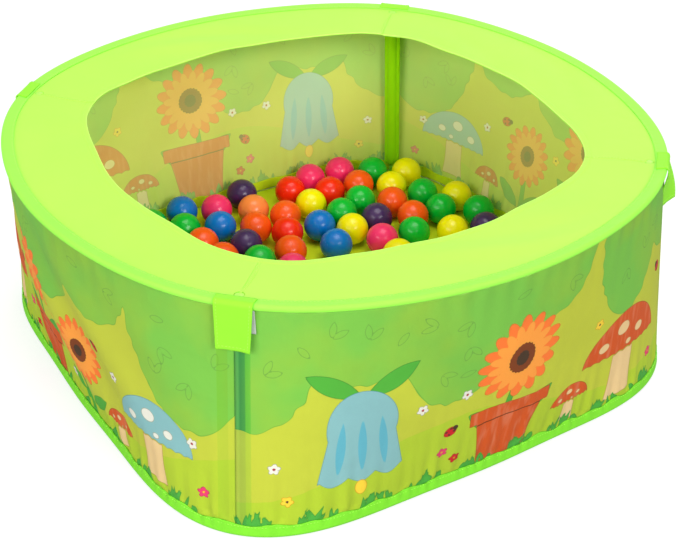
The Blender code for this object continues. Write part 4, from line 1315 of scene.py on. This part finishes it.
def ball_surface(rise, turn):
    """A ball's point at a rise from the parting line and a turn round it, as angles.

    The radius is the ball's, with a bell-shaped ridge along the parting line and a bell-shaped pip on it.
    """
    ridge = PARTING_HEIGHT * np.exp(-(rise * BALL_RADIUS / PARTING_WIDTH) ** 2)
    pip_off = np.hypot(rise, np.abs((turn + math.pi) % math.tau - math.pi)) * BALL_RADIUS
    pip = -PIP_DEPTH * np.exp(-(pip_off / PIP_WIDTH) ** 2)
    radius = BALL_RADIUS - PARTING_HEIGHT + ridge + pip
    level = radius * np.cos(rise)
    return np.stack([level * np.cos(turn), level * np.sin(turn), radius * np.sin(rise)], -1)


turn = np.linspace(0, math.tau, BALL_SEGMENTS, endpoint=False)
rise = np.linspace(-math.pi / 2, math.pi / 2, BALL_RINGS)
rise = rise - RING_CROWD * np.sin(2 * rise)
ball_points = ball_surface(*np.meshgrid(rise, turn, indexing="ij"))


def rolled(points, seed):
    """The ball turned to rest on a random side, by a random unit quaternion's rotation."""
    draw = np.random.default_rng(seed)
    quaternion = draw.normal(size=4)
    w, x, y, z = quaternion / np.linalg.norm(quaternion)
    turn_matrix = np.array([
        [1 - 2 * (y * y + z * z), 2 * (x * y - z * w), 2 * (x * z + y * w)],
        [2 * (x * y + z * w), 1 - 2 * (x * x + z * z), 2 * (y * z - x * w)],
        [2 * (x * z - y * w), 2 * (y * z + x * w), 1 - 2 * (x * x + y * y)],
    ])
    return points @ turn_matrix.T


def play_ball(name, colour, middle, seed, body):
    """A ball of a colour about its middle, riding on a body."""
    ball = loft(name, rolled(ball_points, seed) + middle, close_columns=True)
    weld_poles(ball)
    ball.data.materials.append(ball_finishes[colour])
    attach(ball, body)
    return ball


ball_nodes = sorted(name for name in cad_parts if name.startswith("ball_"))
for k, node_name in enumerate(ball_nodes):
    low, high = (np.array(corner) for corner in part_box(node_name))
    colour = node_name.rsplit("_", 1)[1]
    made = play_ball(f"play_{node_name}", colour, (low + high) / 2, 100 + k, node_name)
    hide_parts(node_name)
height = (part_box(ball_nodes[0])[0].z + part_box(ball_nodes[0])[1].z) / 2
for k, (colour, x, y) in enumerate(OUTER_BALLS):
    play_ball(f"play_ball_outer_{k + 1:02d}_{colour}", colour, np.array([x, y, height]), 200 + k, "pit")


# Setting: a sheet of white paper as the floor, an even white surround, and four soft boxes, in front, to
# the left, behind and overhead. The camera stands to the left of the front, above the rim.
EYE = (-0.85573, -1.39816, 1.12975)
EYE_TURN = (57.264, -0.427, -31.700)
LENS = 70.35
FLOOR_GREY = "#9C9C9C"
FLOOR_LIFT = 0.70
SURROUND = 0.38
PAPER_HALF = 15.0
PAPER_DROP = 0.0002
# Each soft box: its place, the height over the middle that it faces, its side and its power
SOFT_BOXES = {
    "front": ((0.00, -5.10, 2.80), 0.15, 2.2, 203.0),
    "left": ((-4.80, -1.60, 2.05), 0.15, 3.4, 196.0),
    "back": ((3.70, 3.70, 2.40), 0.15, 3.0, 90.0),
    "overhead": ((0.1, -0.2, 3.2), 0.0, 1.8, 46.0),
}

mesh = bpy.data.meshes.new("studio_floor")
sides = ((-1, -1), (1, -1), (1, 1), (-1, 1))
corners = [(side * PAPER_HALF, end * PAPER_HALF, -PAPER_DROP) for side, end in sides]
mesh.from_pydata(corners, [], [(0, 1, 2, 3)])
studio_floor = in_scene("studio_floor", mesh)
# Matt white paper. Only the camera sees the lift that brings it up to the surround, so it keeps the
# shadow and throws no more light on the object.
paper, tree, shader = new_material("white_studio_paper")
shader.inputs["Base Color"].default_value = linear(FLOOR_GREY)
shader.inputs["Roughness"].default_value = 0.9
shader.inputs["Emission Color"].default_value = (1, 1, 1, 1)
path = node(tree, "LightPath")
lift = node(tree, "Math", {0: path.outputs["Is Camera Ray"], 1: FLOOR_LIFT}, operation="MULTIPLY")
tree.links.new(lift.outputs[0], shader.inputs["Emission Strength"])
studio_floor.data.materials.append(paper)

world = bpy.data.worlds.new("white_surround")
bpy.context.scene.world = world
world.use_nodes = True
tree = world.node_tree
path = node(tree, "LightPath")
# The camera, gloss and glass see full white, and the object is lit by less
seen = path.outputs["Is Camera Ray"]
for ray in ("Is Glossy Ray", "Is Transmission Ray"):
    seen = node(tree, "Math", {0: seen, 1: path.outputs[ray]}, operation="ADD").outputs[0]
strength = node(tree, "MapRange", {"Value": seen, "To Min": SURROUND, "To Max": 1.0})
background = tree.nodes["Background"]
background.inputs["Color"].default_value = (1, 1, 1, 1)
tree.links.new(strength.outputs[0], background.inputs["Strength"])

for box_name, (place, aim, side, power) in SOFT_BOXES.items():
    light = bpy.data.lights.new(f"{box_name}_soft_box", "AREA")
    light.size = side
    light.energy = power
    holder = in_scene(f"{box_name}_soft_box", light)
    holder.location = place
    direction = Vector((0, 0, aim)) - Vector(place)
    holder.rotation_euler = direction.to_track_quat("-Z", "Y").to_euler()

camera = in_scene("camera", bpy.data.cameras.new("camera"))
camera.location = EYE
camera.rotation_euler = [math.radians(a) for a in EYE_TURN]
camera.data.lens = LENS
camera.data.sensor_width = 36.0
bpy.context.scene.camera = camera
bpy.context.scene.view_settings.view_transform = "Standard"
